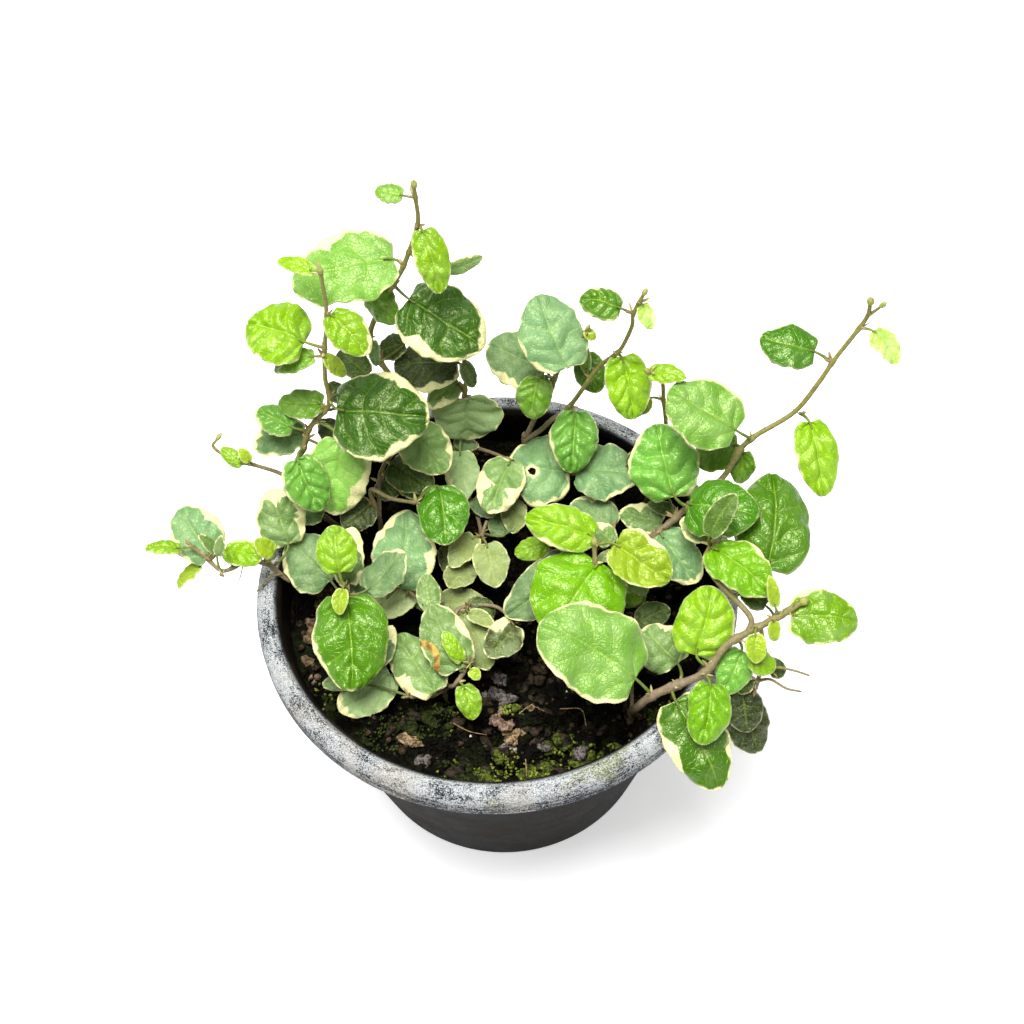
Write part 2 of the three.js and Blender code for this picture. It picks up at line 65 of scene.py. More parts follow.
def colour_prop(name, description, default):
    return bpy.props.FloatVectorProperty(
        name=name, description=description, subtype="COLOR", size=3, min=0, max=1, default=default)


def length_prop(name, description, default):
    return bpy.props.FloatProperty(
        name=name, description=description, unit="LENGTH", subtype="DISTANCE", min=0, default=default)


def number_prop(name, description, default, low=0.0, high=10.0):
    return bpy.props.FloatProperty(name=name, description=description, min=low, max=high, default=default)


def count_prop(name, description, default):
    return bpy.props.IntProperty(name=name, description=description, min=1, default=default)


def angle_prop(name, description, degrees):
    return bpy.props.FloatProperty(
        name=name, description=description, subtype="ANGLE", default=math.radians(degrees))


def look(arch, fold, wave, relief, net, margin, dull, mottle, colour):
    """How a kind of leaf is bent and coloured.

    arch is along its rib, fold and wave are of its edges (up is positive), relief is between its
    side veins and net between its fine veins in mm, and margin is its cream edge in mm.
    """
    return {"arch": arch, "fold": fold, "wave": wave, "relief": relief, "net": net,
            "margin": margin, "dull": dull, "mottle": mottle, "colour": srgb(*colour)}


def coloured(like, dull, mottle, colour):
    """A look with the form of another and a finish of its own."""
    return {**like, "dull": dull, "mottle": mottle, "colour": srgb(*colour)}


YOUNG = look(0.06, 0.12, 0.03, 0.75, 0.30, 0.0, 0.05, 0.10, (136, 164, 26))
FRESH = look(0.10, -0.08, 0.04, 1.00, 0.20, 0.05, 0.05, 0.15, (116, 160, 0))
SMOOTH = look(0.10, -0.08, 0.03, 0.50, 0.08, 0.05, 0.00, 0.10, (52, 108, 0))
DARK = look(0.10, -0.10, 0.03, 1.25, 0.22, 0.2, 0.02, 0.20, (56, 96, 0))
MID = look(0.08, -0.08, 0.04, 0.80, 0.18, 0.1, 0.20, 0.25, (80, 128, 0))
CREAM = look(0.06, -0.06, 0.05, 0.50, 0.08, 0.5, 0.30, 0.40, (96, 128, 66))
GREY = look(0.04, -0.05, 0.05, 0.50, 0.10, 0.3, 0.50, 0.35, (82, 112, 70))
SHADED = look(0.05, -0.06, 0.04, 0.60, 0.15, 0.1, 0.50, 0.25, (36, 60, 0))
DRY = look(0.03, 0.10, 0.05, 0.45, 0.15, 0.4, 0.70, 0.50, (124, 136, 78))
UNDER = look(0.05, 0.08, 0.03, 0.40, 0.10, 0.0, 0.40, 0.10, (54, 92, 0))

SPRING = coloured(CREAM, 0.15, 0.30, (100, 148, 50))
LIME = coloured(CREAM, 0.00, 0.35, (100, 146, 0))
BOTTLE = coloured(CREAM, 0.00, 0.10, (50, 92, 0))
MINT = coloured(CREAM, 0.32, 0.20, (96, 134, 88))
GLAZED = coloured(DARK, 0.00, 0.10, (94, 150, 54))
VIVID = coloured(FRESH, 0.02, 0.05, (98, 152, 0))
GRASS = coloured(DARK, 0.00, 0.10, (64, 112, 0))
# Painted light: grey leaves painted lighter to make up for the shade that they stand in.
LIT_GREY = coloured(GREY, 0.60, 0.50, (148, 176, 118))
# Painted light: a dry leaf painted much lighter to make up for the shade that it stands in.
LIT_DRY = coloured(DRY, 0.70, 0.70, (204, 220, 156))
OLIVE = coloured(DRY, 0.70, 0.60, (56, 62, 22))
JADE = coloured(DARK, 0.10, 0.10, (34, 74, 0))
BRIGHT = coloured(CREAM, 0.15, 0.30, (130, 184, 76))
# Painted shade: leaves that stand deep in shade, painted near black.
DEEP_SHADE = coloured(SHADED, 0.45, 0.15, (16, 30, 0))
PALE = coloured(CREAM, 0.10, 0.80, (160, 196, 80))


def stem(points, thick, thin):
    """A stem through points in mm, with its radius in mm at its foot and at its end."""
    return {"points": points, "thick": thick, "thin": thin}


def planted(x, y, points, thick, thin):
    """A stem that stands in the soil at a place in plan."""
    return stem([[x, y, 59], [x, y, 67], *points], thick, thin)


def root(points, thick=0.35):
    """An aerial root or a dead twig: a stem with no bud at its end."""
    return {**stem(points, thick, 0.6 * thick), "dead": True}


def leaf(base, tip, width, look, turn=0, cream=None, hole=None, scar=None):
    """A leaf: where its stalk meets the blade, its tip, its width in mm and its roll in degrees.

    cream is the margin's width in mm and the plan directions, in degrees from +X to +Y, in which
    it is widest. hole is a hole and scar a brown ring: each its share of the way along the rib,
    its place across from -1 to 1 and its radius in mm.
    """
    return {"base": base, "tip": tip, "width": width, "look": look, "turn": turn,
            "cream": cream or (look["margin"],), "hole": hole, "scar": scar}


def shoot(stems, leaves):
    return {"stems": stems, "leaves": leaves}


# Each shoot's stems and leaves, as read off the photograph through its camera.
SHOOTS = {
    "shoot_back_left": shoot([
        planted(-17, 46, [[-16, 39, 80], [-22, 43, 101], [-28, 47, 114], [-26, 48, 122], [-21, 48, 132],
            [-18, 48, 138], [-15, 48, 146], [-13, 48, 153], [-13, 48, 160], [-13, 48, 163]], 1.0, 0.5),
    ], [
        leaf([-16, 49, 160], [-22, 51, 160], 5, MID),
        leaf([-12, 47, 151], [-9, 37, 141], 8, FRESH, cream=(0.3, 200)),
        leaf([-8, 44, 141], [1, 46, 143], 4, CREAM, 60),
        leaf([-20, 50, 140], [-44, 46, 137], 19, SPRING, cream=(1.6, 115)),
        leaf([-26, 50, 131], [-21, 43, 125], 8, MID, 35),
        leaf([-17, 45, 131], [0, 35, 124], 19, JADE, cream=(1.2, 235, 340)),
        leaf([-27, 46, 116], [-27, 44, 109], 3, GREY),
        leaf([-20, 50, 110], [-27, 50, 107], 7, SHADED),
    ]),
    "shoot_left": shoot([
        planted(-39, 23, [[-42, 21, 76], [-49, 23, 86], [-49, 27, 92], [-46, 28, 98], [-44, 30, 103],
            [-38, 31, 111], [-38, 32, 119], [-37, 33, 128], [-35, 34, 140], [-35, 36, 150]], 1.0, 0.5),
        stem([[-49, 23, 86], [-52, 27, 88], [-59, 28, 92], [-65, 29, 94], [-69, 31, 97], [-68, 32, 98]],
            0.7, 0.4),
    ], [
        leaf([-37, 38, 149], [-45, 42, 149], 4, FRESH),
        leaf([-34, 34, 139], [-26, 27, 133], 9, FRESH, cream=(0.7, 0)),
        leaf([-42, 35, 129], [-55, 40, 131], 16, FRESH, cream=(0.3, 270)),
        leaf([-40, 33, 126], [-50, 34, 121], 6, MID),
        leaf([-37, 32, 127], [-33, 31, 121], 4, YOUNG),
        leaf([-36, 28, 112], [-14, 25, 112], 23, JADE, cream=(1.3, 282, 50)),
        leaf([-40, 32, 110], [-51, 35, 108], 8, MID),
        leaf([-48, 29, 105], [-57, 34, 106], 8, GLAZED, cream=(0.5, 180)),
        leaf([-46, 32, 99], [-59, 31, 96], 10, GREY, cream=(1.3, 150)),
        leaf([-47, 23, 100], [-42, 13, 92], 11, GLAZED, cream=(0.4, 180)),
        leaf([-36, 27, 101], [-40, 16, 86], 16, BRIGHT, cream=(1.2, 290, 345)),
        leaf([-43, 18, 83], [-55, 22, 83], 8, GREY, cream=(0.5, 200)),
        leaf([-36, 37, 105], [-39, 42, 106], 5, SHADED),
        leaf([-29, 39, 112], [-36, 47, 112], 7, SHADED),
        leaf([-36, 27, 98], [-42, 37, 98], 7, DEEP_SHADE),
        leaf([-62, 27, 94], [-67, 31, 96], 4, FRESH),
        leaf([-60, 27, 95], [-62, 29, 98], 3, YOUNG),
        leaf([-38, 28, 88], [-41, 24, 86], 8, SHADED),
        leaf([-31, 32, 95], [-25, 30, 93], 9, SHADED),
    ]),
    "shoot_far_left": shoot([
        planted(-46, 5, [[-47, 3, 71], [-49, 3, 75], [-52, 3, 77], [-57, 5, 82], [-62, 4, 84], [-67, 2, 84],
            [-71, 5, 86], [-74, 7, 88]], 0.9, 0.5),
        root([[-53, 3.5, 79], [-56, 2.5, 79.5], [-59.5, -0.5, 77.8]], 0.38),
        root([[-67, 2, 84], [-67, -0.5, 86], [-66, -1.5, 87]], 0.4),
        root([[-62, 4, 84], [-63, 1, 82], [-64, -1, 81]], 0.2),
    ], [
        leaf([-70, 6, 85], [-78, 19, 88], 13, MINT, cream=(1.0, 45, 220)),
        leaf([-77, 6, 89], [-85, 6, 90], 5, FRESH, 30),
        leaf([-73, 5, 82], [-79, 1, 79], 5, YOUNG, 30),
        leaf([-68, 5, 88], [-71, 6, 94], 3, CREAM),
        leaf([-67, 2, 91], [-65, 4, 96], 3, CREAM),
        leaf([-66, 6, 87], [-57, 2, 88], 7, FRESH, cream=(0.4, 90)),
        leaf([-54, 4, 88], [-58, 5, 92], 5, YOUNG),
        leaf([-51, 10, 83], [-55, 21, 91], 12, CREAM, cream=(2.0, 110, 0)),
    ]),
    "tuft_left": shoot([
        planted(-37, -7, [[-36, -9, 78], [-36, -8, 89]], 0.9, 0.6),
    ], [
        leaf([-41, 1, 79], [-51, 13, 81], 15, GREY, cream=(0.7, 200)),
        leaf([-37, -6, 93], [-38, 4, 98], 10, FRESH),
        leaf([-36, -11, 93], [-37, -16, 90], 4, YOUNG),
        leaf([-36, -10, 88], [-35, -31, 80], 18, GRASS, cream=(0.6, 200)),
        leaf([-36, -3, 83], [-35, 11, 87], 8, CREAM, cream=(2.2, 60)),
        leaf([-31, -7, 86], [-22, 1, 90], 10, GREY, -15, cream=(0.5, 40)),
        leaf([-29, -21, 75], [-26, -12, 77], 6, GREY, cream=(1.2, 45)),
        leaf([-38, -1, 77], [-30, -3, 75], 9, GREY, cream=(0.6, 0)),
    ]),
    "tuft_middle": shoot([
        planted(-30, 19, [[-29, 19, 78], [-30, 20, 90], [-25, 17, 90], [-19, 16, 89]], 0.9, 0.5),
        stem([[-29, 19, 80], [-28, 27, 87], [-23, 32, 94]], 0.7, 0.5),
        stem([[-30, 19, 71], [-28, 8, 73], [-26, 3, 76], [-22, -2, 77], [-18, -7, 78]], 0.7, 0.5),
    ], [
        leaf([-24, -2, 79], [-22, 18, 83], 16, MINT, cream=(1.6, 130, 350)),
        leaf([-30, -6, 74], [-19, -1, 75], 8, LIT_DRY),
        leaf([-31, 20, 84], [-38, 15, 82], 9, DEEP_SHADE),
        leaf([-20, 32, 98], [-11, 23, 92], 13, CREAM, cream=(1.2, 0)),
        leaf([-25, 29, 89], [-15, 21, 88], 10, SHADED),
        leaf([-23, 27, 85], [-17, 21, 84], 7, CREAM),
        leaf([-13, 20, 90], [-12, 5, 86], 13, SMOOTH, cream=(0.15, 90)),
        leaf([-16, -9, 79], [-17, 0, 81], 6, CREAM),
        leaf([-23, 8, 76], [-28, 13, 76], 8, SHADED),
        leaf([-20, 0, 74], [-14, -4, 73], 8, GREY),
        leaf([-28, 27, 84], [-25, 22, 83], 7, SHADED),
    ]),
    "shoot_back_middle": shoot([
        planted(-7, 45, [[-7, 42, 84], [-6, 43, 95], [-5, 42, 105], [-5, 42, 114]], 1.0, 0.5),
        stem([[-7, 43, 77], [0, 36, 82], [5, 30, 86]], 0.6, 0.5),
        stem([[-7, 44, 70], [-7, 32, 73], [-4, 20, 75], [-3, 10, 77]], 0.8, 0.5),
        root([[-3, 10, 77], [-3.2, 11.5, 79], [-1.6, 14.3, 82]], 0.8),
    ], [
        leaf([-7, 45, 108], [-23, 47, 105], 15, DEEP_SHADE, cream=(1.0, 300)),
        leaf([-7, 45, 100], [-15, 40, 97], 7, CREAM, cream=(1.4, 270)),
        leaf([-5, 42, 97], [-5, 39, 84], 18, LIT_GREY, cream=(0.7, 300)),
        leaf([-5, 40, 113], [-3, 39, 105], 4, SHADED),
        leaf([-9, 40, 82], [-3, 39, 81], 4, GREY),
        leaf([-8, 36, 83], [-8, 23, 79], 9, LIT_GREY, cream=(0.9, 200)),
        leaf([5, 29, 87], [-1, 16, 83], 12, CREAM, cream=(2.2, 180, 320)),
        leaf([-5, 25, 77], [0, 19, 77], 5, GREY),
        leaf([-5, 11, 80], [-11, 3, 79], 7, DRY),
        leaf([-2, 8, 81], [0, -3, 78], 9, DRY),
        leaf([-7, 6, 76], [-12, -1, 76], 8, DRY),
        leaf([-9, 12, 75], [-13, 5, 74], 7, OLIVE),
        leaf([3, 15, 75], [1, 21, 76], 7, GREY),
        leaf([-5, 38, 80], [-9, 41, 82], 6, SHADED),
    ]),
    "shoot_back_right": shoot([
        planted(9, 38, [[9, 36, 76], [9, 37, 86]], 1.0, 0.9),
        stem([[9, 37, 85], [12, 38, 93], [16, 39, 102], [18, 40, 108], [22, 42, 113], [25, 43, 119]],
            0.8, 0.4),
        stem([[9, 37, 85], [13, 36, 90], [16, 36, 94], [20, 37, 97], [24, 36, 106], [28, 36, 114],
            [32, 34, 121], [33, 34, 123], [35, 34, 130], [35, 33, 135], [37, 33, 141]], 0.8, 0.5),
        stem([[9, 36, 77], [15, 30, 81], [22, 26, 84]], 0.7, 0.5),
    ], [
        leaf([20, 27, 84], [4, 30, 84], 19, MINT, cream=(1.2, 180, 300), hole=(0.57, 0.12, 0.9)),
        leaf([5, 23, 78], [5, 15, 75], 7, DRY),
        leaf([22, 26, 86], [37, 22, 88], 15, MINT, cream=(0.5, 300)),
        leaf([15, 45, 103], [1, 51, 107], 16, GREY, cream=(0.8, 240)),
        leaf([13, 39, 107], [11, 32, 100], 9, MID),
        leaf([20, 36, 114], [14, 52, 123], 16, MINT, cream=(0.9, 235)),
        leaf([25, 39, 109], [24, 43, 116], 3, MID),
        leaf([25, 43, 119], [27, 41, 118], 3, YOUNG),
        leaf([25, 44, 109], [28, 37, 103], 8, DARK),
        leaf([32, 34, 136], [23, 37, 137], 8, GRASS, cream=(0.5, 90)),
        leaf([37, 33, 138], [39, 29, 134], 4, PALE, cream=(0.9, 0)),
        leaf([33, 34, 119], [35, 23, 109], 11, FRESH, cream=(0.3, 0)),
        leaf([22, 36, 97], [20, 23, 89], 12, GLAZED, cream=(0.4, 200)),
    ]),
    "shoot_right_thin": shoot([
        planted(40, 27, [[43, 26, 84], [44, 28, 98], [43, 29, 108], [42, 29, 116], [39, 28, 120]], 0.8, 0.5),
    ], [
        leaf([39, 28, 120], [47, 25, 121], 5, FRESH),
        leaf([40, 31, 107], [34, 30, 104], 7, YOUNG),
    ]),
    "shoot_long_right": shoot([
        planted(36, 13, [[37, 8, 77], [40, 6, 84], [46, 8, 90], [48, 8, 93], [56, 11, 100], [60, 14, 107],
            [63, 15, 110], [72, 17, 116], [77, 19, 124], [80, 21, 129], [86, 23, 141], [86, 23, 145]],
            1.1, 0.55),
        stem([[86, 23, 141], [88, 22, 145]], 0.5, 0.4),
        root([[72, 17, 116], [74, 19, 113], [76.5, 21, 112]], 0.16),
        root([[72, 17, 116], [72, 20, 114], [70, 22, 112]], 0.14),
    ], [
        leaf([42, 11, 82], [32, 15, 82], 8, CREAM, cream=(1.5, 90)),
        leaf([45, 11, 86], [39, 15, 85], 4, SHADED),
        leaf([41, 5, 86], [49, -7, 82], 12, MINT, cream=(0.8, 300)),
        leaf([58, 14, 114], [43, 23, 119], 17, SPRING, cream=(0.6, 60)),
        leaf([44, 9, 96], [41, 25, 104], 17, GLAZED, cream=(0.7, 50, 330, 170)),
        leaf([60, 19, 102], [50, 20, 96], 10, MID),
        leaf([61, 15, 104], [60, 11, 97], 6, MID),
        leaf([47, 4, 99], [62, -3, 103], 15, SMOOTH),
        leaf([76, 24, 129], [64, 28, 130], 11, SMOOTH, cream=(0.4, 90)),
        leaf([88, 22, 137], [93, 16, 133], 6, PALE, cream=(0.9, 0)),
        leaf([76, 16, 113], [78, 1, 104], 10, FRESH, cream=(0.4, 200)),
        leaf([43, 3, 82], [49, 10, 84], 10, SHADED),
        leaf([40, 23, 88], [35, 27, 90], 8, SHADED),
    ]),
    "tuft_centre_right": shoot([
        planted(25, -3, [[25, -5, 78], [24, -6, 90], [24, -3, 94]], 0.9, 0.6),
        stem([[25, -4, 72], [29, 4, 77], [30, 11, 79]], 0.6, 0.5),
    ], [
        leaf([13, 5, 84], [5, 4, 82], 6, FRESH),
        leaf([20, 0, 85], [2, -12, 79], 13, GREY, cream=(0.3, 200)),
        leaf([30, 12, 80], [20, 20, 80], 10, GREY, cream=(0.9, 90)),
        leaf([29, 3, 86], [25, 9, 86], 6, CREAM, cream=(1.4, 90)),
        leaf([30, 1, 84], [25, 0, 83], 3, CREAM),
        leaf([24, 0, 94], [8, 6, 95], 11, FRESH, cream=(0.5, 230)),
        leaf([29, -4, 96], [41, -13, 93], 13, YOUNG, cream=(0.6, 60)),
        leaf([25, -6, 91], [13, -22, 84], 23, VIVID, cream=(0.3, 250)),
        leaf([33, -6, 85], [36, -10, 82], 5, CREAM),
        leaf([30, -6, 80], [35, -10, 79], 6, FRESH),
        leaf([24, 7, 80], [27, 11, 82], 8, SHADED),
        leaf([30, -9, 78], [35, -3, 80], 9, VIVID),
    ]),
    "branch_front_right": shoot([
        planted(31, -34, [[32, -37, 76], [35, -37, 81], [41, -36, 84], [47, -35, 87], [52, -31, 92],
            [57, -29, 94], [61, -28, 96], [64, -27, 97], [69, -25, 99]], 1.3, 0.8),
        stem([[57, -29, 94], [58, -27, 96], [55, -22, 97], [51, -17, 98], [49, -11, 98], [51, -8, 99]],
            0.8, 0.6),
        stem([[31, -34, 70], [32, -24, 73], [34, -16, 76]], 0.6, 0.5),
        stem([[60, -28, 95], [61, -32, 89], [59, -37, 82]], 0.6, 0.5),
        root([[60, -35, 86], [63, -35, 88], [67, -36, 88], [71, -36.5, 86]], 0.42),
        root([[60, -36, 84], [62, -37, 86], [65.5, -39, 85], [69, -39.5, 84]], 0.42),
    ], [
        leaf([31, -35, 86], [10, -23.5, 94], 22, SPRING, cream=(0.5, 80, 210, 280)),
        leaf([34, -15, 77], [42, -11, 77], 7, SHADED),
        leaf([42, -28, 80], [35, -19, 82], 12, CREAM, cream=(1.6, 80)),
        leaf([63, -26, 100], [62, -21, 105], 3, YOUNG),
        leaf([45, -31, 89], [50, -18, 97], 14, FRESH, cream=(0.2, 0)),
        leaf([67, -27, 97], [82, -29, 96], 13, LIME, cream=(0.9, 150)),
        leaf([58, -32, 98], [58, -37, 94], 5, YOUNG),
        leaf([57, -35, 92], [63, -36, 90], 6, FRESH),
        leaf([62, -35, 87], [66, -34, 86], 5, SHADED),
        leaf([56, -31, 89], [51, -39, 84], 8, GLAZED),
        leaf([58, -36, 84], [55, -38, 82], 3, SHADED),
        leaf([48, -38, 87], [45, -50, 81], 10, VIVID),
        leaf([40, -40, 83], [49, -57, 72], 15, BOTTLE, cream=(1.3, 0, 200)),
        leaf([56, -37, 81], [57, -44, 74], 9, DEEP_SHADE),
        leaf([55, -37, 77], [60, -46, 67], 11, DEEP_SHADE),
        leaf([63, -28, 97], [63, -31, 93], 3, YOUNG),
        leaf([50, -9, 105], [56, -3, 112], 6, UNDER),
        leaf([52, -3, 94], [46, 5, 92], 7, DRY, cream=(1.5, 90)),
        leaf([51, -10, 101], [62, -23, 101], 12, VIVID, cream=(0.6, 45)),
        leaf([64, -12, 94], [68, 12, 99], 18, GRASS, cream=(0.3, 200)),
        leaf([62, -22, 94], [57, -18, 94], 5, SHADED),
    ]),
    "runner_front": shoot([
        planted(-14, -24, [[-11, -27, 73], [-8, -24, 76], [-7, -24, 78]], 0.8, 0.5),
        stem([[-13, -25, 68], [-17, -28, 70], [-22, -28, 70]], 0.6, 0.5),
        stem([[-14, -24, 68], [-13, -12, 69], [-10, -6, 73], [-1, -6, 74], [4, -11, 75]], 0.7, 0.5),
    ], [
        leaf([-27, -22, 71], [-39, -31, 70], 12, LIT_GREY, cream=(0.9, 200)),
        leaf([-37, -25, 73], [-43, -25, 73], 4, GREY),
        leaf([-15, -2, 70], [-3, -3, 71], 8, DRY),
        leaf([-10, -25, 77], [-16, -9, 81], 12, CREAM, cream=(1.2, 30), scar=(0.33, 1.3, 4.2)),
        leaf([-9, -24, 79], [-13, -18, 83], 4, FRESH),
        leaf([-16, -28, 72], [-25, -13, 74], 12, CREAM, cream=(1.6, 230)),
        leaf([-9, -7, 72], [-3, -23, 72], 10, DRY),
        leaf([-7, -9, 76], [-1, -13, 76], 4, DRY),
        leaf([4, -13, 76], [-3, -22, 77], 9, OLIVE, cream=(1.1, 90)),
        leaf([-9, -28, 74], [-7, -35, 70], 6, FRESH),
        leaf([-7, -26, 78], [-5, -28, 77], 3, YOUNG),
        leaf([-7, -8, 73], [-1, -5, 73], 8, SHADED),
        leaf([-12, -13, 71], [-5, -17, 70], 8, DRY),
    ]),
}

# The things on the soil, as the photograph shows them. A chip: its finish, plan place, size and
# turn in degrees. Moss: plan place, radius and its share of lit moss from 0 to 1; the lit and
# dark moss are partly two colours of moss and partly painted light and painted shade.
CHIPS = [
    ("bark", -3, -24, (8.5, 6.0, 4.4), 25), ("bark", -6, -26, (6.0, 4.5, 3.6), 80),
    ("bark", 1, -26, (6.0, 4.5, 3.4), 130), ("bark", -1, -21, (6.0, 4.0, 3.4), 60),
    ("rosy", -1, -33, (6.5, 6.0, 3.4), 40), ("tan", 2, -36, (7.0, 4.6, 3.0), 160),
    ("pale", 1, -39, (11.0, 4.0, 2.6), 160), ("bark", 9, -40, (4.0, 3.0, 2.6), 20),
    ("rosy", -46, -19, (4.0, 2.2, 1.8), 60), ("tan", -22, -36, (9.0, 3.0, 2.2), 170),
    ("sand", -46, -3, (8.5, 7.0, 5.2), 15), ("sand", -45, 4, (8.8, 7.4, 5.6), 70),
    ("sand", -47, -8, (6.0, 5.0, 4.0), 110), ("sand", -44, 0, (6.0, 5.5, 4.2), 30),
    ("sand", -47.5, 9, (5.5, 5.0, 4.0), 100), ("sand", -48, -13, (4.5, 4.0, 3.0), 10),
    ("bark", -20, -42, (5.0, 3.0, 2.4), 30), ("bark", 18, -43, (5.0, 3.2, 2.6), 75),
    ("tan", 7, -30, (3.4, 2.4, 2.0), 10),
]
PERLITE = [(13, -37), (-40, -26), (28, -38), (6, -46), (16, -25), (-8, -36)]
MOSS = [
    (2, -30, 3.2, 0.9), (0, -43, 3.6, 1.0), (7, -48, 5.0, 1.0), (-5, -48, 4.6, 0.6),
    (-17, -30, 6.5, 0.2), (-25, -34, 5.5, 0.1), (13, -41, 5.0, 0.4), (-12, -47, 5.0, 0.3),
    (20, -45, 5.0, 0.5), (-34, -38, 4.5, 0.2), (28, -42, 4.5, 0.4), (-44, -24, 4.0, 0.3),
    (38, -34, 4.0, 0.3),
]
THREADS = [
    [(-49, 8), (-44, 2), (-40, -6), (-42, -13)], [(4, -32), (7, -30), (10, -33)],
    [(14, -31), (19, -31), (20, -36)], [(-12, -33), (-8, -36), (-4, -37)], [(5, -44), (5, -48)],
]


class FIG_PG_pot(bpy.types.PropertyGroup):
    """Sizes and colours of the nursery pot."""
    height: length_prop("Height", "From the table to the top of the rim", 0.0774)
    foot_radius: length_prop("Foot radius", "Outer radius of the flat underside", 0.0405)
    shoulder_radius: length_prop("Shoulder radius", "Outer radius of the wall under the rim", 0.0554)
    shoulder_height: length_prop("Shoulder height", "Where the wall meets the rolled rim", 0.071)
    rim_radius: length_prop("Rim radius", "Outer radius of the rolled rim", 0.06)
    bead: length_prop("Bead radius", "Radius of the rim's rounded top", 0.0031)
    lip_drop: length_prop("Lip drop", "How far the lip hangs below the top", 0.007)
    lip_wall: length_prop("Lip wall", "Thickness of the lip", 0.0013)
    wall: length_prop("Wall", "Thickness of the pot's wall", 0.0015)
    floor: length_prop("Floor", "Thickness of the pot's floor", 0.002)
    sides: count_prop("Sides", "Steps round the pot", 160)
    plastic: colour_prop("Plastic", "Colour of the plastic", srgb(9, 8, 8))
    dust: colour_prop("Dust", "Colour of the dried mud on the wall", srgb(62, 53, 42))
    crust: colour_prop("Crust", "Colour of the lime crust on the rim", srgb(210, 212, 208))
    algae: colour_prop("Algae", "Colour of the algae on the rim", srgb(122, 128, 52))


class FIG_PG_soil(bpy.types.PropertyGroup):
    """Sizes and colours of the soil and of what lies on it."""
    level: length_prop("Level", "Height of the soil's surface", 0.066)
    lump: length_prop("Lump height", "Height of the larger lumps", 0.0056)
    crumb: length_prop("Crumb height", "Height of the crumbs", 0.0016)
    crumbs: count_prop("Crumbs", "Loose crumbs on the surface", 620)
    chunks: count_prop("Chunks", "Half-buried pieces of dark bark", 150)
    sprigs: count_prop("Moss sprigs", "Leafy sprigs in each square centimetre of moss", 150)
    humus: colour_prop("Humus", "Colour of the damp soil", srgb(9, 7, 4))
    dry: colour_prop("Dry soil", "Colour of the drier crumbs", srgb(54, 43, 29))
    # The two moss colours below are partly two mosses and partly painted light: the first is the moss in
    # painted shade, the second the moss painted lit. The first also colours the soil's moss film.
    moss: colour_prop("Moss", "Colour of the dark moss", srgb(28, 36, 10))
    lit_moss_colour: colour_prop("Bright moss", "Colour of the young moss", srgb(84, 98, 26))


class FIG_PG_leaf(bpy.types.PropertyGroup):
    """Sizes and colours of the leaves."""
    thickness: length_prop("Thickness", "Thickness of a blade", 0.00035)
    across: count_prop("Cells across", "Cells of a large blade from edge to edge", 38)
    along: count_prop("Cells along", "Cells of a large blade from base to tip", 44)
    veins: number_prop("Side veins", "Side veins on each half of a blade", 4.0, 1, 12)
    cream: colour_prop("Cream", "Colour of the pale margins", srgb(222, 216, 160))
    vein: colour_prop("Vein", "Colour that the veins are drawn towards", srgb(142, 168, 60))
    brown: colour_prop("Brown", "Colour of dead edges and scars", srgb(120, 74, 30))


class FIG_PG_stem(bpy.types.PropertyGroup):
    """Sizes and colours of the stems."""
    stalk_radius: length_prop("Stalk radius", "Radius of a leaf stalk where it leaves the stem", 0.00045)
    knot: number_prop("Knot", "How much a stem swells where a leaf stands", 0.35, 0, 1)
    bark: colour_prop("Bark", "Colour of the old stems", srgb(130, 114, 88))
    green: colour_prop("Green bark", "Colour of the young stems", srgb(128, 124, 58))
    stalk: colour_prop("Stalk", "Colour of the leaf stalks", srgb(104, 112, 36))


class FIG_PG_stage(bpy.types.PropertyGroup):
    """Camera, light and floor."""
    distance: length_prop("Distance", "From the camera to the middle of the rim", 0.38)
    elevation: angle_prop("Elevation", "Camera's angle above the horizon", 54.65)
    roll: angle_prop("Roll", "Camera's turn about its line of sight", -2.97)
    lens: number_prop("Lens", "Focal length on a 36 mm sensor, in mm", 52.11, 10, 200)
    target: bpy.props.FloatVectorProperty(
        name="Target", description="What the camera looks at", subtype="XYZ", unit="LENGTH",
        default=(0.00479, 0.01989, 0.0774))
    paper: colour_prop("Paper", "Colour of the floor", (0.93, 0.93, 0.93))
    key: number_prop("Key light", "Power of the large soft light, in watts", 17.0, 0, 200)
    fill: number_prop("Fill light", "Power of the light from the front, in watts", 1.0, 0, 200)
    sky: number_prop("Sky", "Strength of the pale surroundings", 0.34, 0, 10)


def arithmetic(operation, swapped=False):
    """A method that adds the maths node of one operation."""
    def method(value, other):
        terms = (other, value) if swapped else (value, other)
        return value.paint.math(operation, *terms)
    return method


class Value:
    """A socket of a material's node tree that takes part in ordinary arithmetic."""

    def __init__(self, paint, socket):
        self.paint, self.socket = paint, socket

    def __abs__(self):
        return self.paint.math("ABSOLUTE", self)

    __add__, __radd__ = arithmetic("ADD"), arithmetic("ADD", swapped=True)
    __sub__, __rsub__ = arithmetic("SUBTRACT"), arithmetic("SUBTRACT", swapped=True)
    __mul__, __rmul__ = arithmetic("MULTIPLY"), arithmetic("MULTIPLY", swapped=True)


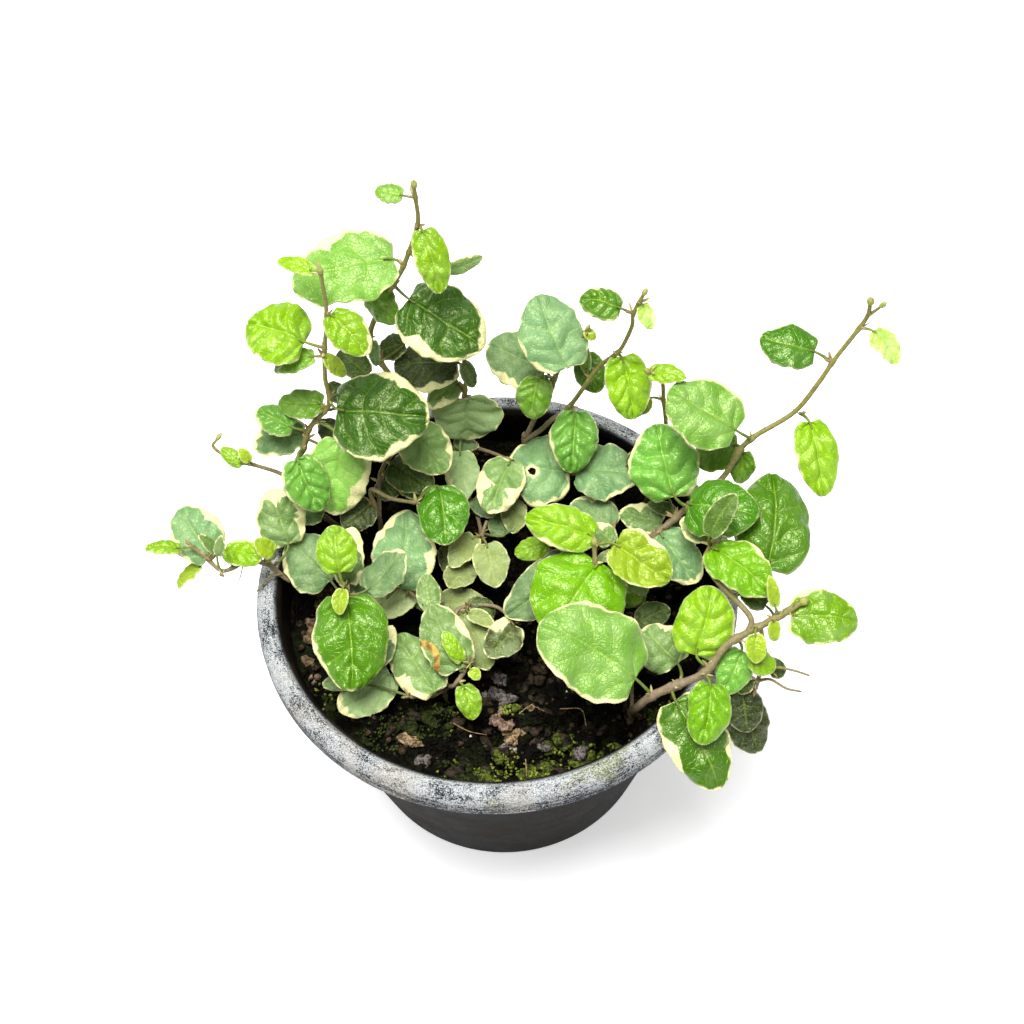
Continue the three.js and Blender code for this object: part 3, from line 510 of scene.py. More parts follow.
class Paint:
    """A new material whose Principled shader is fed by expressions."""

    def __init__(self, name, **constants):
        self.material = bpy.data.materials.new(name)
        self.material.use_nodes = True
        self.tree = self.material.node_tree
        self.shader = self.tree.nodes["Principled BSDF"]
        for socket, value in constants.items():
            self.shader.inputs[socket.replace("_", " ")].default_value = value

    def node(self, kind, settings=None, **sockets):
        """A node of one kind, with its settings made first and then its sockets filled or linked."""
        made = self.tree.nodes.new("ShaderNode" + kind)
        for setting, value in (settings or {}).items():
            setattr(made, setting, value)
        for name, value in sockets.items():
            self.fill(made.inputs[name.replace("_", " ")], value)
        return made

    def fill(self, socket, value):
        if isinstance(value, Value):
            self.tree.links.new(value.socket, socket)
        elif socket.type == "RGBA" and len(value) == 3:
            socket.default_value = (*value, 1)
        else:
            socket.default_value = value

    def value(self, node, output):
        return Value(self, node.outputs[output])

    def math(self, operation, *terms, clamp=False):
        made = self.tree.nodes.new("ShaderNodeMath")
        made.operation, made.use_clamp = operation, clamp
        for socket, term in zip(made.inputs, terms):
            self.fill(socket, term)
        return Value(self, made.outputs[0])

    def clamp(self, value):
        return self.math("ADD", value, 0.0, clamp=True)

    def attribute(self, name, output="Fac"):
        return self.value(self.node("Attribute", {"attribute_name": name}), output)

    def place(self):
        """Object coordinates in millimetres."""
        where = self.value(self.node("TexCoord"), "Object")
        made = self.node("VectorMath", {"operation": "SCALE"}, Vector=where, Scale=1000.0)
        return self.value(made, "Vector")

    def axes(self, vector):
        split = self.node("SeparateXYZ", Vector=vector)
        return [self.value(split, axis) for axis in "XYZ"]

    def vector(self, x, y, z):
        return self.value(self.node("CombineXYZ", X=x, Y=y, Z=z), "Vector")

    def noise(self, vector, scale, detail=3.0, roughness=0.5):
        made = self.node("TexNoise", Vector=vector, Scale=scale, Detail=detail, Roughness=roughness)
        return self.value(made, "Fac")

    def cells(self, vector, scale, feature="F1"):
        made = self.node("TexVoronoi", {"feature": feature}, Vector=vector, Scale=scale)
        return self.value(made, "Distance")

    def step(self, value, low, high):
        """0 below low, 1 above high and smooth between; falls where low is above high."""
        made = self.node("MapRange", {"interpolation_type": "SMOOTHSTEP"}, Value=value)
        rising = low < high
        ends = (low, high, 0.0, 1.0) if rising else (high, low, 1.0, 0.0)
        for name, end in zip(("From Min", "From Max", "To Min", "To Max"), ends):
            made.inputs[name].default_value = end
        return self.value(made, "Result")

    def blend(self, factor, under, over, kind="MIX"):
        """Colour mixed from under to over by a factor."""
        made = self.tree.nodes.new("ShaderNodeMix")
        made.data_type, made.blend_type = "RGBA", kind
        for name, value in zip(("Factor_Float", "A_Color", "B_Color"), (factor, under, over)):
            self.fill(next(s for s in made.inputs if s.identifier == name), value)
        return Value(self, next(s for s in made.outputs if s.identifier == "Result_Color"))

    def bump(self, height, distance, strength=1.0):
        made = self.node("Bump", Height=height, Distance=distance, Strength=strength)
        self.fill(self.shader.inputs["Normal"], self.value(made, "Normal"))

    def set(self, **sockets):
        for name, value in sockets.items():
            self.fill(self.shader.inputs[name.replace("_", " ")], value)
        return self.material


def leaf_paint(name, settings, under=False):
    """Leaf skin: tinted by the leaf's own colour, with cream margins, veins, mottling and gloss."""
    paint = Paint(name, IOR=1.5, Specular_IOR_Level=0.6, Specular_Tint=(0.9, 1.0, 0.55, 1.0))
    where = paint.place()
    across, _, _ = paint.axes(paint.value(paint.node("UVMap", {"uv_map": "UVMap"}), "UV"))
    side = abs(1.0 - 2.0 * across)
    dull, mottle, size = paint.axes(paint.attribute("finish", "Vector"))
    tint = paint.attribute("tint", "Color")
    margin = paint.attribute("cream")
    dead = paint.attribute("dead")

    strip = paint.attribute("strip")
    rib = paint.step(side * size, 0.5, 0.12)
    lateral = paint.step(abs(paint.math("SINE", strip * math.pi)), 0.20, 0.02) * paint.step(side, 0.95, 0.6)
    net = paint.cells(where, 0.85, "DISTANCE_TO_EDGE")
    groove = paint.step(net, 0.12, 0.0)
    wrinkle = paint.noise(where, 0.9, 3.0, 0.6)
    grain = paint.noise(where, 2.4, 3.0, 0.6)
    blotch = paint.noise(where, 0.16, 3.0, 0.5)
    fine = paint.noise(where, 0.6, 4.0, 0.65)

    deep = paint.blend(1.0, tint, (0.50, 0.60, 0.40), "MULTIPLY")
    warm = paint.blend(1.0, tint, (1.25, 1.12, 1.0), "MULTIPLY")
    skin = paint.blend(paint.step(blotch, 0.35, 0.65) * 0.5, tint, warm)
    skin = paint.blend(paint.step(fine, 0.42, 0.68) * 0.45, skin, deep)
    pale = paint.blend(0.55, tint, srgb(168, 190, 140))
    skin = paint.blend(mottle * paint.step(blotch + (fine - 0.5) * 0.6, 0.42, 0.6) * 0.8, skin, pale)
    skin = paint.blend(paint.clamp(rib * (0.34 - dull * 0.35)), skin, settings.vein)
    skin = paint.blend(paint.clamp(lateral * 0.20 + groove * 0.08), skin, settings.vein)
    dusty = paint.step(paint.noise(where, 2.6, 2.0, 0.6), 0.62, 0.70)
    skin = paint.blend(dusty * paint.clamp(dull * 0.9 - 0.15), skin, srgb(206, 214, 184))
    edge = margin + (paint.noise(where, 0.75, 3.0, 0.6) - 0.5) * 1.3
    lined = paint.step(margin, -0.42, -0.12)
    skin = paint.blend(lined * 0.24, skin, settings.cream)
    creamy = paint.step(edge, -0.10, 0.12)
    skin = paint.blend(creamy * 0.95, skin, paint.blend(grain * 0.3, settings.cream, srgb(206, 212, 140)))
    brown = paint.step(dead + (fine - 0.5) * 0.7, 0.25, 0.75)
    burnt = paint.blend(paint.step(fine, 0.4, 0.6), settings.brown, srgb(198, 160, 78))
    skin = paint.blend(brown * 0.9, skin, burnt)
    relief = wrinkle * 1.0 + grain * 0.3 - groove * 0.35 - lateral * 0.35 - rib * 0.2
    rough = 0.23 + dull * 0.6 + (fine - 0.5) * 0.16 + creamy * 0.14 + brown * 0.3
    if under:
        skin = paint.blend(0.35, skin, srgb(128, 146, 70))
        relief = groove * 0.5 + lateral * 1.0 + rib * 1.4 + grain * 0.3
        rough = rough + 0.25
    paint.bump(relief, 0.00015, 1.0)
    return paint.set(Base_Color=skin, Roughness=paint.clamp(rough))


def stem_paint():
    """Stem skin: its own tint with fine ridges and pale specks."""
    paint = Paint("fig_stem", IOR=1.45)
    where = paint.place()
    tint = paint.attribute("tint", "Color")
    streak = paint.noise(where, 1.3, 4.0, 0.7)
    speck = paint.noise(where, 3.2, 2.0, 0.6)
    dark = paint.blend(1.0, tint, (0.4, 0.36, 0.3), "MULTIPLY")
    skin = paint.blend(paint.step(streak, 0.38, 0.66) * 0.55, tint, dark)
    skin = paint.blend(paint.step(speck, 0.62, 0.72) * 0.4, skin, srgb(206, 196, 160))
    paint.bump(streak + speck * 0.5, 0.0002, 0.7)
    return paint.set(Base_Color=skin, Roughness=0.62 + (speck - 0.5) * 0.3)


def plastic_paint(settings):
    """Worn dark plastic: satin wall with dried mud, and a rim grained with lime and algae."""
    paint = Paint("worn_pot_plastic", IOR=1.25, Specular_IOR_Level=0.05)
    where = paint.place()
    x, y, z = paint.axes(where)
    radius = paint.math("SQRT", x * x + y * y)
    broad = paint.noise(where, 0.045, 3.0, 0.55)
    patch = paint.noise(where, 0.14, 3.0, 0.55)
    speck = paint.noise(where, 2.3, 3.0, 0.7)
    dot = paint.noise(where, 5.5, 2.0, 0.6)
    streak = paint.noise(paint.vector(x * 0.22, y * 0.22, z * 1.3 + radius * 1.1), 1.0, 3.0, 0.6)
    rim = paint.step(z, 70.2, 70.8) * paint.step(radius, 54.6, 56.0)
    top = paint.step(z, 73.2, 76.2)
    amount = 0.44 + top * 0.12 + (patch - 0.5) * 0.35 + (streak - 0.5) * 0.6
    grain = speck + (dot - 0.5) * 0.55
    lime = paint.clamp((amount - grain) * 9.0 + 0.5) * rim
    # The brown patches lie thicker towards -X, so the wall is browner and lighter on its left.
    mud = paint.step(patch + (speck - 0.5) * 0.5 + (broad - 0.5) * 0.8 + x * -0.003, 0.30, 1.0)
    wall = paint.blend(mud * 0.4, settings.plastic, settings.dust)
    wall = paint.blend(paint.step(speck, 0.62, 0.74) * 0.06, wall, settings.crust)
    blue = paint.blend(rim * 0.75, wall, srgb(44, 50, 60))
    shade = paint.blend(paint.step(dot, 0.35, 0.6), settings.crust, srgb(132, 136, 142))
    lined = paint.blend(lime * 0.92, blue, shade)
    beige = paint.step(paint.noise(where, 0.07, 3.0, 0.5), 0.52, 0.66) * rim
    lined = paint.blend(beige * 0.22, lined, srgb(150, 134, 104))
    green = paint.step(paint.noise(where, 0.10, 4.0, 0.6) + x * 0.0022 - 0.05, 0.52, 0.64) * top * rim
    skin = paint.blend(green * 0.6 * paint.step(speck, 0.38, 0.56), lined, settings.algae)
    paint.bump(speck * 0.6 + lime * 0.6 + dot * 0.4, 0.0003, 0.7)
    rough = 0.45 + mud * 0.2 + lime * 0.35 + (speck - 0.5) * 0.2
    return paint.set(Base_Color=skin, Roughness=paint.clamp(rough))


def soil_paint(settings):
    """Damp potting mix with drier crumbs, fibres and a film of moss."""
    paint = Paint("potting_soil", IOR=1.4, Specular_IOR_Level=0.1)
    where = paint.place()
    crumb = paint.noise(where, 0.8, 5.0, 0.7)
    lump = paint.noise(where, 0.16, 4.0, 0.6)
    grain = paint.cells(where, 1.1)
    skin = paint.blend(paint.step(crumb + (lump - 0.5) * 0.5, 0.52, 0.76) * 0.6, settings.humus, settings.dry)
    film = paint.step(paint.noise(where, 0.11, 4.0, 0.6) + (crumb - 0.5) * 0.35, 0.50, 0.62)
    skin = paint.blend(film * 0.5, skin, settings.moss)
    speck = paint.step(paint.noise(where, 2.2, 3.0, 0.7), 0.70, 0.76)
    skin = paint.blend(speck * 0.5, skin, srgb(150, 140, 118))
    paint.bump(crumb + grain * 0.7, 0.0009, 1.0)
    return paint.set(Base_Color=skin, Roughness=paint.clamp(0.62 + (crumb - 0.5) * 0.5))


def piece_paint(name, colour, other, scale=1.0, rough=0.7):
    """A rough natural thing of two colours, such as bark, grit, moss or a bud scale."""
    paint = Paint(name, IOR=1.4, Specular_IOR_Level=0.15)
    where = paint.place()
    grain = paint.noise(where, scale, 4.0, 0.65)
    fine = paint.noise(where, scale * 3.5, 3.0, 0.6)
    skin = paint.blend(paint.step(grain + (fine - 0.5) * 0.4, 0.36, 0.66), colour, other)
    paint.bump(grain + fine * 0.5, 0.0004, 0.8)
    return paint.set(Base_Color=skin, Roughness=paint.clamp(rough + (fine - 0.5) * 0.3))


def deselect():
    if bpy.context.mode != "OBJECT":
        bpy.ops.object.mode_set(mode="OBJECT")
    bpy.ops.object.select_all(action="DESELECT")


def take(*pieces):
    """Selects these pieces alone, with the first as the active one."""
    deselect()
    for piece in pieces:
        piece.select_set(True)
    bpy.context.view_layer.objects.active = pieces[0]


def joined(name, pieces):
    """One piece from several."""
    take(*pieces)
    if len(pieces) > 1:
        bpy.ops.object.join()
    made = bpy.context.view_layer.objects.active
    made.name = made.data.name = name
    return made


def edited(piece, *jobs):
    """Runs edit-mode jobs on the whole of a piece."""
    take(piece)
    bpy.ops.object.mode_set(mode="EDIT")
    bpy.ops.mesh.select_all(action="SELECT")
    for job in jobs:
        job()
    bpy.ops.object.mode_set(mode="OBJECT")


def copy_of(seed, name):
    """A new object in the scene, with a mesh of its own that is copied from a seed's."""
    piece = bpy.data.objects.new(name, seed.data.copy())
    bpy.context.scene.collection.objects.link(piece)
    return piece


def apply_modifier(piece, kind, **settings):
    take(piece)
    made = piece.modifiers.new(kind.lower(), kind)
    for name, value in settings.items():
        setattr(made, name, value)
    bpy.ops.object.modifier_apply(modifier=made.name)


def smooth(piece):
    take(piece)
    bpy.ops.object.shade_smooth()


def paint_piece(piece, *materials):
    piece.data.materials.clear()
    for material in materials:
        piece.data.materials.append(material)


def seat(piece, slot, *nodes):
    """Ties a finished piece to the plant's one body, and lets it stand for CAD nodes; the slot is not used.
    """
    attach(piece, "root")
    if nodes:
        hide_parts(*nodes)


def marked(mesh, name, kind, value):
    """Gives every vertex of a mesh one value, as a named attribute."""
    made = mesh.attributes.get(name) or mesh.attributes.new(name, kind, "POINT")
    field = {"FLOAT": "value", "FLOAT_VECTOR": "vector", "FLOAT_COLOR": "color"}[kind]
    count = len(mesh.vertices)
    flat = list(value) * count if kind != "FLOAT" else value
    made.data.foreach_set(field, flat)


def polyline(name, points, radii=None, thickness=0.0, sides=4):
    """A curve through points in mm; with a thickness, a round rod of those radii with closed ends."""
    data = bpy.data.curves.new(name, "CURVE")
    data.dimensions = "3D"
    line = data.splines.new("POLY")
    line.points.add(len(points) - 1)
    for i, place in enumerate(points):
        line.points[i].co = (*(Vector(place) * MM), 1)
        line.points[i].radius = radii[i] if radii else 1.0
    data.bevel_depth, data.bevel_resolution, data.use_fill_caps = thickness, sides, thickness > 0
    piece = bpy.data.objects.new(name, data)
    bpy.context.scene.collection.objects.link(piece)
    take(piece)
    bpy.ops.object.convert(target="MESH")
    return bpy.context.view_layer.objects.active


def spun(name, profile, steps):
    """A round solid: a profile in mm, from the axis out and back to it, spun about Z."""
    piece = polyline(name, [(radius, 0, height) for radius, height in profile])
    edited(
        piece,
        lambda: bpy.ops.mesh.spin(steps=steps, angle=2 * math.pi, center=(0, 0, 0), axis=(0, 0, 1)),
        lambda: bpy.ops.mesh.select_all(action="SELECT"),
        lambda: bpy.ops.mesh.remove_doubles(threshold=1e-6),
        lambda: bpy.ops.mesh.normals_make_consistent(inside=False),
    )
    return piece


def arc(centre, radius, start, end, steps):
    """Points of an arc in a profile, in mm and degrees."""
    turns = [math.radians(start + (end - start) * i / steps) for i in range(steps + 1)]
    return [(centre[0] + radius * math.cos(a), centre[1] + radius * math.sin(a)) for a in turns]


def wall_radius(pot, height):
    return pot.foot_radius + (pot.shoulder_radius - pot.foot_radius) * height / pot.shoulder_height


def spread(start, end, spacing):
    """Points in a profile from start to end, no further apart than the spacing in mm."""
    (r0, z0), (r1, z1) = start, end
    count = max(1, math.ceil(math.hypot(r1 - r0, z1 - z0) / spacing))
    return [(r0 + (r1 - r0) * i / count, z0 + (z1 - z0) * i / count) for i in range(count)] + [end]


DRAIN_HOLES, DRAIN_SIDES = 6, 24
DRAIN_RING, DRAIN_RADIUS, DRAIN_DEPTH = 28 * MM, 3.5 * MM, 12 * MM
FOOT_ROUND, FLOOR_ROUND = 1.5, 2  # in mm, outside and inside
CREASE = math.radians(40)  # edges of the pot that turn by more than this stay sharp


class FIG_OT_pot(bpy.types.Operator):
    """Spins the nursery pot with its rolled rim and cuts its drain holes"""
    bl_idname = "fig.pot"
    bl_label = "Pot"

    def execute(self, context):
        pot = context.scene.fig_pot
        piece = spun("nursery_pot", self.section(pot), pot.sides)
        drills = []
        for i in range(DRAIN_HOLES):
            turn = 2 * math.pi * (i + 0.5) / DRAIN_HOLES
            place = (DRAIN_RING * math.cos(turn), DRAIN_RING * math.sin(turn), 0)
            bpy.ops.mesh.primitive_cylinder_add(
                vertices=DRAIN_SIDES, radius=DRAIN_RADIUS, depth=DRAIN_DEPTH, location=place)
            drills.append(context.active_object)
        drill = joined("drill", drills)
        apply_modifier(piece, "BOOLEAN", operation="DIFFERENCE", object=drill, solver="EXACT")
        bpy.data.objects.remove(drill)
        take(piece)
        bpy.ops.object.shade_smooth_by_angle(angle=CREASE)
        paint_piece(piece, plastic_paint(pot))
        seat(piece, "pot_plastic", "pot")
        return {"FINISHED"}

    def section(self, pot):
        """Half the pot's section in mm: up the outside, round the rolled rim and down the inside."""
        rim, bead, lip = pot.rim_radius / MM, pot.bead / MM, pot.lip_wall / MM
        height, level = pot.height / MM, pot.shoulder_height / MM
        shoulder, wall = pot.shoulder_radius / MM, pot.wall / MM
        foot, floor = pot.foot_radius / MM, pot.floor / MM
        inside = wall_radius(pot, pot.floor) / MM - wall
        centre = (rim - bead, height - bead)
        lip_end = height - pot.lip_drop / MM
        return [
            (0, 0), (foot - FOOT_ROUND, 0),
            *arc((foot - FOOT_ROUND, FOOT_ROUND), FOOT_ROUND, -90, -12, 5),
            (shoulder, level), (centre[0] - 0.9, centre[1] - 1.0),
            *arc((centre[0] + 0.2, centre[1] - 0.4), bead - lip - 0.2, 160, 0, 8),
            (rim - lip, lip_end + 0.6),
            *arc((rim - lip / 2, lip_end + lip / 2), lip / 2, 180, 360, 6),
            *arc(centre, bead, 0, 180, 20),
            (shoulder - wall, level), (inside, floor + FLOOR_ROUND),
            *arc((inside - FLOOR_ROUND, floor + FLOOR_ROUND), FLOOR_ROUND, 0, -90, 4),
            (0, floor),
        ]


LEVEL_FROM, LEVEL_OVER = 48.5, 4.3  # in mm from the axis, where the soil's relief levels out
PLUG_FOOT, PLUG_GAP, PLUG_CELL = 2.3, 0.05, 0.42  # in mm: its underside, its gap to the wall, a cell
PLUG_STEPS = 360


def soil_height(x, y):
    """Height in mm of the soil's broad shape at a place in plan, as in the solids."""
    lumps = 0.7 * math.sin(0.21 * x + 0.6) * math.cos(0.17 * y - 0.4) + 0.5 * math.sin(0.43 * x - 0.31 * y)
    heap = 1.2 * math.exp(-((x + 44) ** 2 + (y + 8) ** 2) / 90)
    return 66 + lumps + heap


def soil_skin(x, y, soil):
    """Height in mm of the soil's surface with its lumps and crumbs, which level out at the wall."""
    here = Vector((x, y, 0))
    edge = min(1.0, max(0.0, (math.hypot(x, y) - LEVEL_FROM) / LEVEL_OVER))
    lump = noise.turbulence(here / 7, 3, False) - 0.6
    near = noise.voronoi(here / 2.6)[0]
    small = noise.turbulence(here / 1.6 + Vector((9, 4, 2)), 2, False) - 0.5
    relief = soil.lump / MM * lump + soil.crumb / MM * (1.0 - 1.6 * near[0]) + 0.45 * small
    return soil_height(x, y) + relief * (1 - 0.8 * edge * edge)


class FIG_OT_soil(bpy.types.Operator):
    """Spins the plug of soil and raises its lumps and crumbs"""
    bl_idname = "fig.soil"
    bl_label = "Soil"

    def execute(self, context):
        soil, pot = context.scene.fig_soil, context.scene.fig_pot
        top, wall = soil.level / MM, pot.wall / MM + PLUG_GAP
        foot = wall_radius(pot, PLUG_FOOT * MM) / MM - wall
        reach = wall_radius(pot, soil.level) / MM - wall
        profile = [(0, PLUG_FOOT), (foot, PLUG_FOOT), *spread((reach, top), (0, top), PLUG_CELL)]
        piece = spun("soil_plug", profile, PLUG_STEPS)
        for vertex in piece.data.vertices:
            x, y, z = vertex.co / MM
            if z > top - 0.01:
                vertex.co.z = soil_skin(x, y, soil) * MM
        smooth(piece)
        paint_piece(piece, soil_paint(soil))
        seat(piece, "soil", "soil")
        return {"FINISHED"}


def lump_seed(name, divisions, material):
    """A ball of unit size to copy for crumbs and chips, which is removed once it has been copied."""
    deselect()
    bpy.ops.mesh.primitive_ico_sphere_add(subdivisions=divisions, radius=1.0)
    seed = bpy.context.active_object
    seed.name = name
    paint_piece(seed, material)
    smooth(seed)
    return seed


def lump(seed, place, size, turn, rng, rough=0.35):
    """A copy of a seed ball, squeezed to a size in mm, dented at random and set at a place in mm."""
    piece = copy_of(seed, seed.name)
    offset = Vector((rng.uniform(0, 90), rng.uniform(0, 90), rng.uniform(0, 90)))
    spin = Matrix.Rotation(math.radians(turn), 3, "Z") @ Matrix.Rotation(rng.uniform(-0.4, 0.4), 3, "X")
    stretch = Vector(size) / 2
    for vertex in piece.data.vertices:
        ball = vertex.co.copy()
        dent = 1 + rough * noise.noise(ball * 1.7 + offset) + rough * 0.25 * noise.noise(ball * 4.1 + offset)
        body = Vector((ball.x * stretch.x, ball.y * stretch.y, ball.z * stretch.z)) * dent
        vertex.co = (place + spin @ body) * MM
    return piece


# Finishes of the things on the soil: name, dark and light colour, scale of the grain, roughness,
# and how often the ball that is copied for it is divided.
FINISHES = {
    "bark": ("bark_chip", (36, 32, 28), (116, 108, 102), 0.9, 0.7, 3),
    "rosy": ("reddish_chip", (60, 44, 34), (150, 124, 106), 1.1, 0.7, 3),
    "tan": ("tan_chip", (66, 52, 36), (162, 138, 102), 1.1, 0.7, 3),
    "pale": ("pale_bark_chip", (66, 60, 52), (164, 156, 140), 1.0, 0.7, 3),
    "sand": ("sandy_lump", (58, 45, 31), (126, 106, 78), 1.0, 0.85, 3),
    "crumb": ("soil_crumb", (10, 8, 5), (70, 56, 38), 0.5, 0.8, 1),
    "dark": ("dark_bark", (9, 7, 5), (58, 48, 36), 0.6, 0.75, 2),
    # These two mounds are one moss painted in shade and painted lit, partly also two colours of moss.
    "moss": ("shaded_moss_mound", (12, 16, 5), (46, 54, 18), 1.2, 0.85, 2),
    "lit_moss": ("lit_moss_mound", (24, 30, 8), (88, 98, 34), 1.2, 0.85, 2),
    "grit": ("white_grit", (206, 204, 196), (240, 238, 232), 0.9, 0.8, 1),
}
CHIP_FLAKES, MOSS_MOUNDS = 6, 5  # lumps in each chip and under each patch of moss
CHUNK_REACH, MOUND_REACH, CRUMB_REACH, MOSS_REACH = 49, 50, 51, 51.5  # in mm from the pot's axis
BRIGHT_MOSS = 0.35  # patches with a larger share than this sit on the mounds painted lit, the rest on the mounds in painted shade
THREAD_STEPS = 35


def thread_route(knots, soil):
    """A fine root's line in mm, which runs over the crumbs and keeps out of the hollows."""
    line = []
    for i in range(THREAD_STEPS + 1):
        spot = along_curve([Vector((x, y, 0)) for x, y in knots], i / THREAD_STEPS)
        height = max(soil_skin(spot.x, spot.y, soil) + 0.25, soil_height(spot.x, spot.y) - 0.2)
        line.append((spot.x, spot.y, height))
    return line


class FIG_OT_litter(bpy.types.Operator):
    """Lays crumbs, bark chips, grit, moss and fine roots on the soil"""
    bl_idname = "fig.litter"
    bl_label = "Litter and moss"

    def execute(self, context):
        self.soil = context.scene.fig_soil
        self.rng = random.Random(LITTER_SEED)
        self.seeds = {}
        for kind, (name, dark, light, scale, rough, divisions) in FINISHES.items():
            finish = piece_paint(name, srgb(*dark), srgb(*light), scale, rough)
            self.seeds[kind] = lump_seed(kind, divisions, finish)
        chips = self.chips() + self.chunks() + self.mounds() + self.grit()
        crumbs = self.crumbs()
        for seed in self.seeds.values():
            bpy.data.objects.remove(seed)
        seat(joined("chips_and_grit", chips), "soil")
        seat(joined("soil_crumbs", crumbs), "soil")
        self.moss()
        self.threads()
        return {"FINISHED"}

    def on_soil(self, x, y, lift=0.0):
        return Vector((x, y, soil_skin(x, y, self.soil) + lift))

    def anywhere(self, reach):
        """A random place in plan, no further out than the reach in mm."""
        radius, turn = reach * math.sqrt(self.rng.random()), self.rng.uniform(0, 2 * math.pi)
        return radius * math.cos(turn), radius * math.sin(turn)

    def chips(self):
        """The chips and clods of the photograph, each a heap of flakes."""
        uniform, made = self.rng.uniform, []
        for kind, x, y, (long, broad, high), turn in CHIPS:
            place = self.on_soil(x, y, high * 0.2)
            for _ in range(CHIP_FLAKES):
                shift = Vector((uniform(-0.3, 0.3) * long, uniform(-0.3, 0.3) * broad, uniform(-0.2, 0.5)))
                flake = (long * uniform(0.3, 0.7), broad * uniform(0.35, 0.7), high * uniform(0.3, 0.7))
                turned = turn + uniform(-50, 50)
                made.append(lump(self.seeds[kind], place + shift, flake, turned, self.rng, 0.5))
        return made

    def chunks(self):
        """Dark bark, half buried all over the soil."""
        uniform, made = self.rng.uniform, []
        for _ in range(self.soil.chunks):
            place = self.on_soil(*self.anywhere(CHUNK_REACH))
            size = (uniform(3, 6), uniform(2, 3.6), uniform(1.2, 2.6))
            made.append(lump(self.seeds["dark"], place, size, uniform(0, 180), self.rng, 0.6))
        return made

    def mounds(self):
        """Low mounds that the moss grows on."""
        uniform, made = self.rng.uniform, []
        for x, y, radius, bright in MOSS:
            for _ in range(MOSS_MOUNDS):
                at = Vector((x + uniform(-0.6, 0.6) * radius, y + uniform(-0.6, 0.6) * radius, 0))
                if at.length > MOUND_REACH:
                    continue
                size = (uniform(0.7, 1.1) * radius, uniform(0.5, 0.9) * radius, uniform(1.0, 1.8))
                seed = self.seeds["lit_moss" if bright > BRIGHT_MOSS else "moss"]
                made.append(lump(seed, self.on_soil(at.x, at.y), size, uniform(0, 180), self.rng, 0.5))
        return made

    def grit(self):
        """White grains."""
        uniform, made = self.rng.uniform, []
        for x, y in PERLITE:
            size = [uniform(0.5, 1.1) for _ in range(3)]
            made.append(lump(self.seeds["grit"], self.on_soil(x, y, 0.2), size, uniform(0, 180), self.rng))
        return made

    def crumbs(self):
        """Loose crumbs of all sizes."""
        uniform, made = self.rng.uniform, []
        for _ in range(self.soil.crumbs):
            x, y = self.anywhere(CRUMB_REACH)
            broad = uniform(0.8, 3.0) * uniform(0.6, 1.0)
            size = (broad, broad * uniform(0.6, 1.0), broad * uniform(0.5, 0.9))
            place = self.on_soil(x, y, size[2] * 0.1)
            made.append(lump(self.seeds["crumb"], place, size, uniform(0, 180), self.rng, 0.6))
        return made

    def moss(self):
        """Cushions of tiny upright sprigs, each a slim cone that leans at random."""
        deselect()
        bpy.ops.mesh.primitive_cone_add(
            vertices=4, radius1=0.5, radius2=0.12, depth=1.0, location=(0, 0, 0.5))
        seed = bpy.context.active_object
        seed.data.transform(seed.matrix_world)
        seed.matrix_world = Matrix.Identity(4)
        uniform = self.rng.uniform
        tufts = {"dark": [], "bright": []}
        for x0, y0, radius, bright in MOSS:
            for _ in range(round(self.soil.sprigs * math.pi * radius * radius / 100)):
                out, turn = radius * self.rng.random() ** 0.6, uniform(0, 2 * math.pi)
                x, y = x0 + out * math.cos(turn), y0 + out * math.sin(turn)
                if math.hypot(x, y) > MOSS_REACH:
                    continue
                high = uniform(0.7, 1.5) * (1.15 - out / radius * 0.6)
                lean = Matrix.Rotation(uniform(-0.6, 0.6), 3, "X")
                lean = lean @ Matrix.Rotation(uniform(-0.6, 0.6), 3, "Y")
                base = self.on_soil(x, y, -0.15)
                piece = copy_of(seed, "sprig")
                for vertex in piece.data.vertices:
                    body = Vector((vertex.co.x * 1.1, vertex.co.y * 1.1, vertex.co.z * high))
                    vertex.co = (base + lean @ body) * MM
                patch = 0.5 + 0.9 * noise.noise(Vector((x, y, 7)) / 1.9) + uniform(-0.1, 0.1)
                tufts["bright" if patch < bright else "dark"].append(piece)
        bpy.data.objects.remove(seed)
        # The sprigs' two finishes: dark is moss in painted shade, bright is moss painted lit; partly they are
        # also two colours of moss.
        looks = {
            "dark": (self.soil.moss, srgb(62, 74, 26)),
            "bright": (self.soil.lit_moss_colour, srgb(142, 150, 62)),
        }
        for kind, sprigs in tufts.items():
            finish = piece_paint("moss_" + kind, *looks[kind], 0.8, 0.7)
            self.finish(joined("moss_" + kind, sprigs), finish)

    def threads(self):
        """Hair-thin roots that run over the crumbs and taper to half their thickness."""
        radii = [0.16 - 0.08 * i / THREAD_STEPS for i in range(THREAD_STEPS + 1)]
        made = [polyline("root", thread_route(knots, self.soil), radii, MM, 1) for knots in THREADS]
        finish = piece_paint("fine_root", srgb(110, 84, 56), srgb(172, 146, 108), 1.2)
        self.finish(joined("fine_roots", made), finish)

    def finish(self, piece, material):
        paint_piece(piece, material)
        smooth(piece)
        seat(piece, "soil")


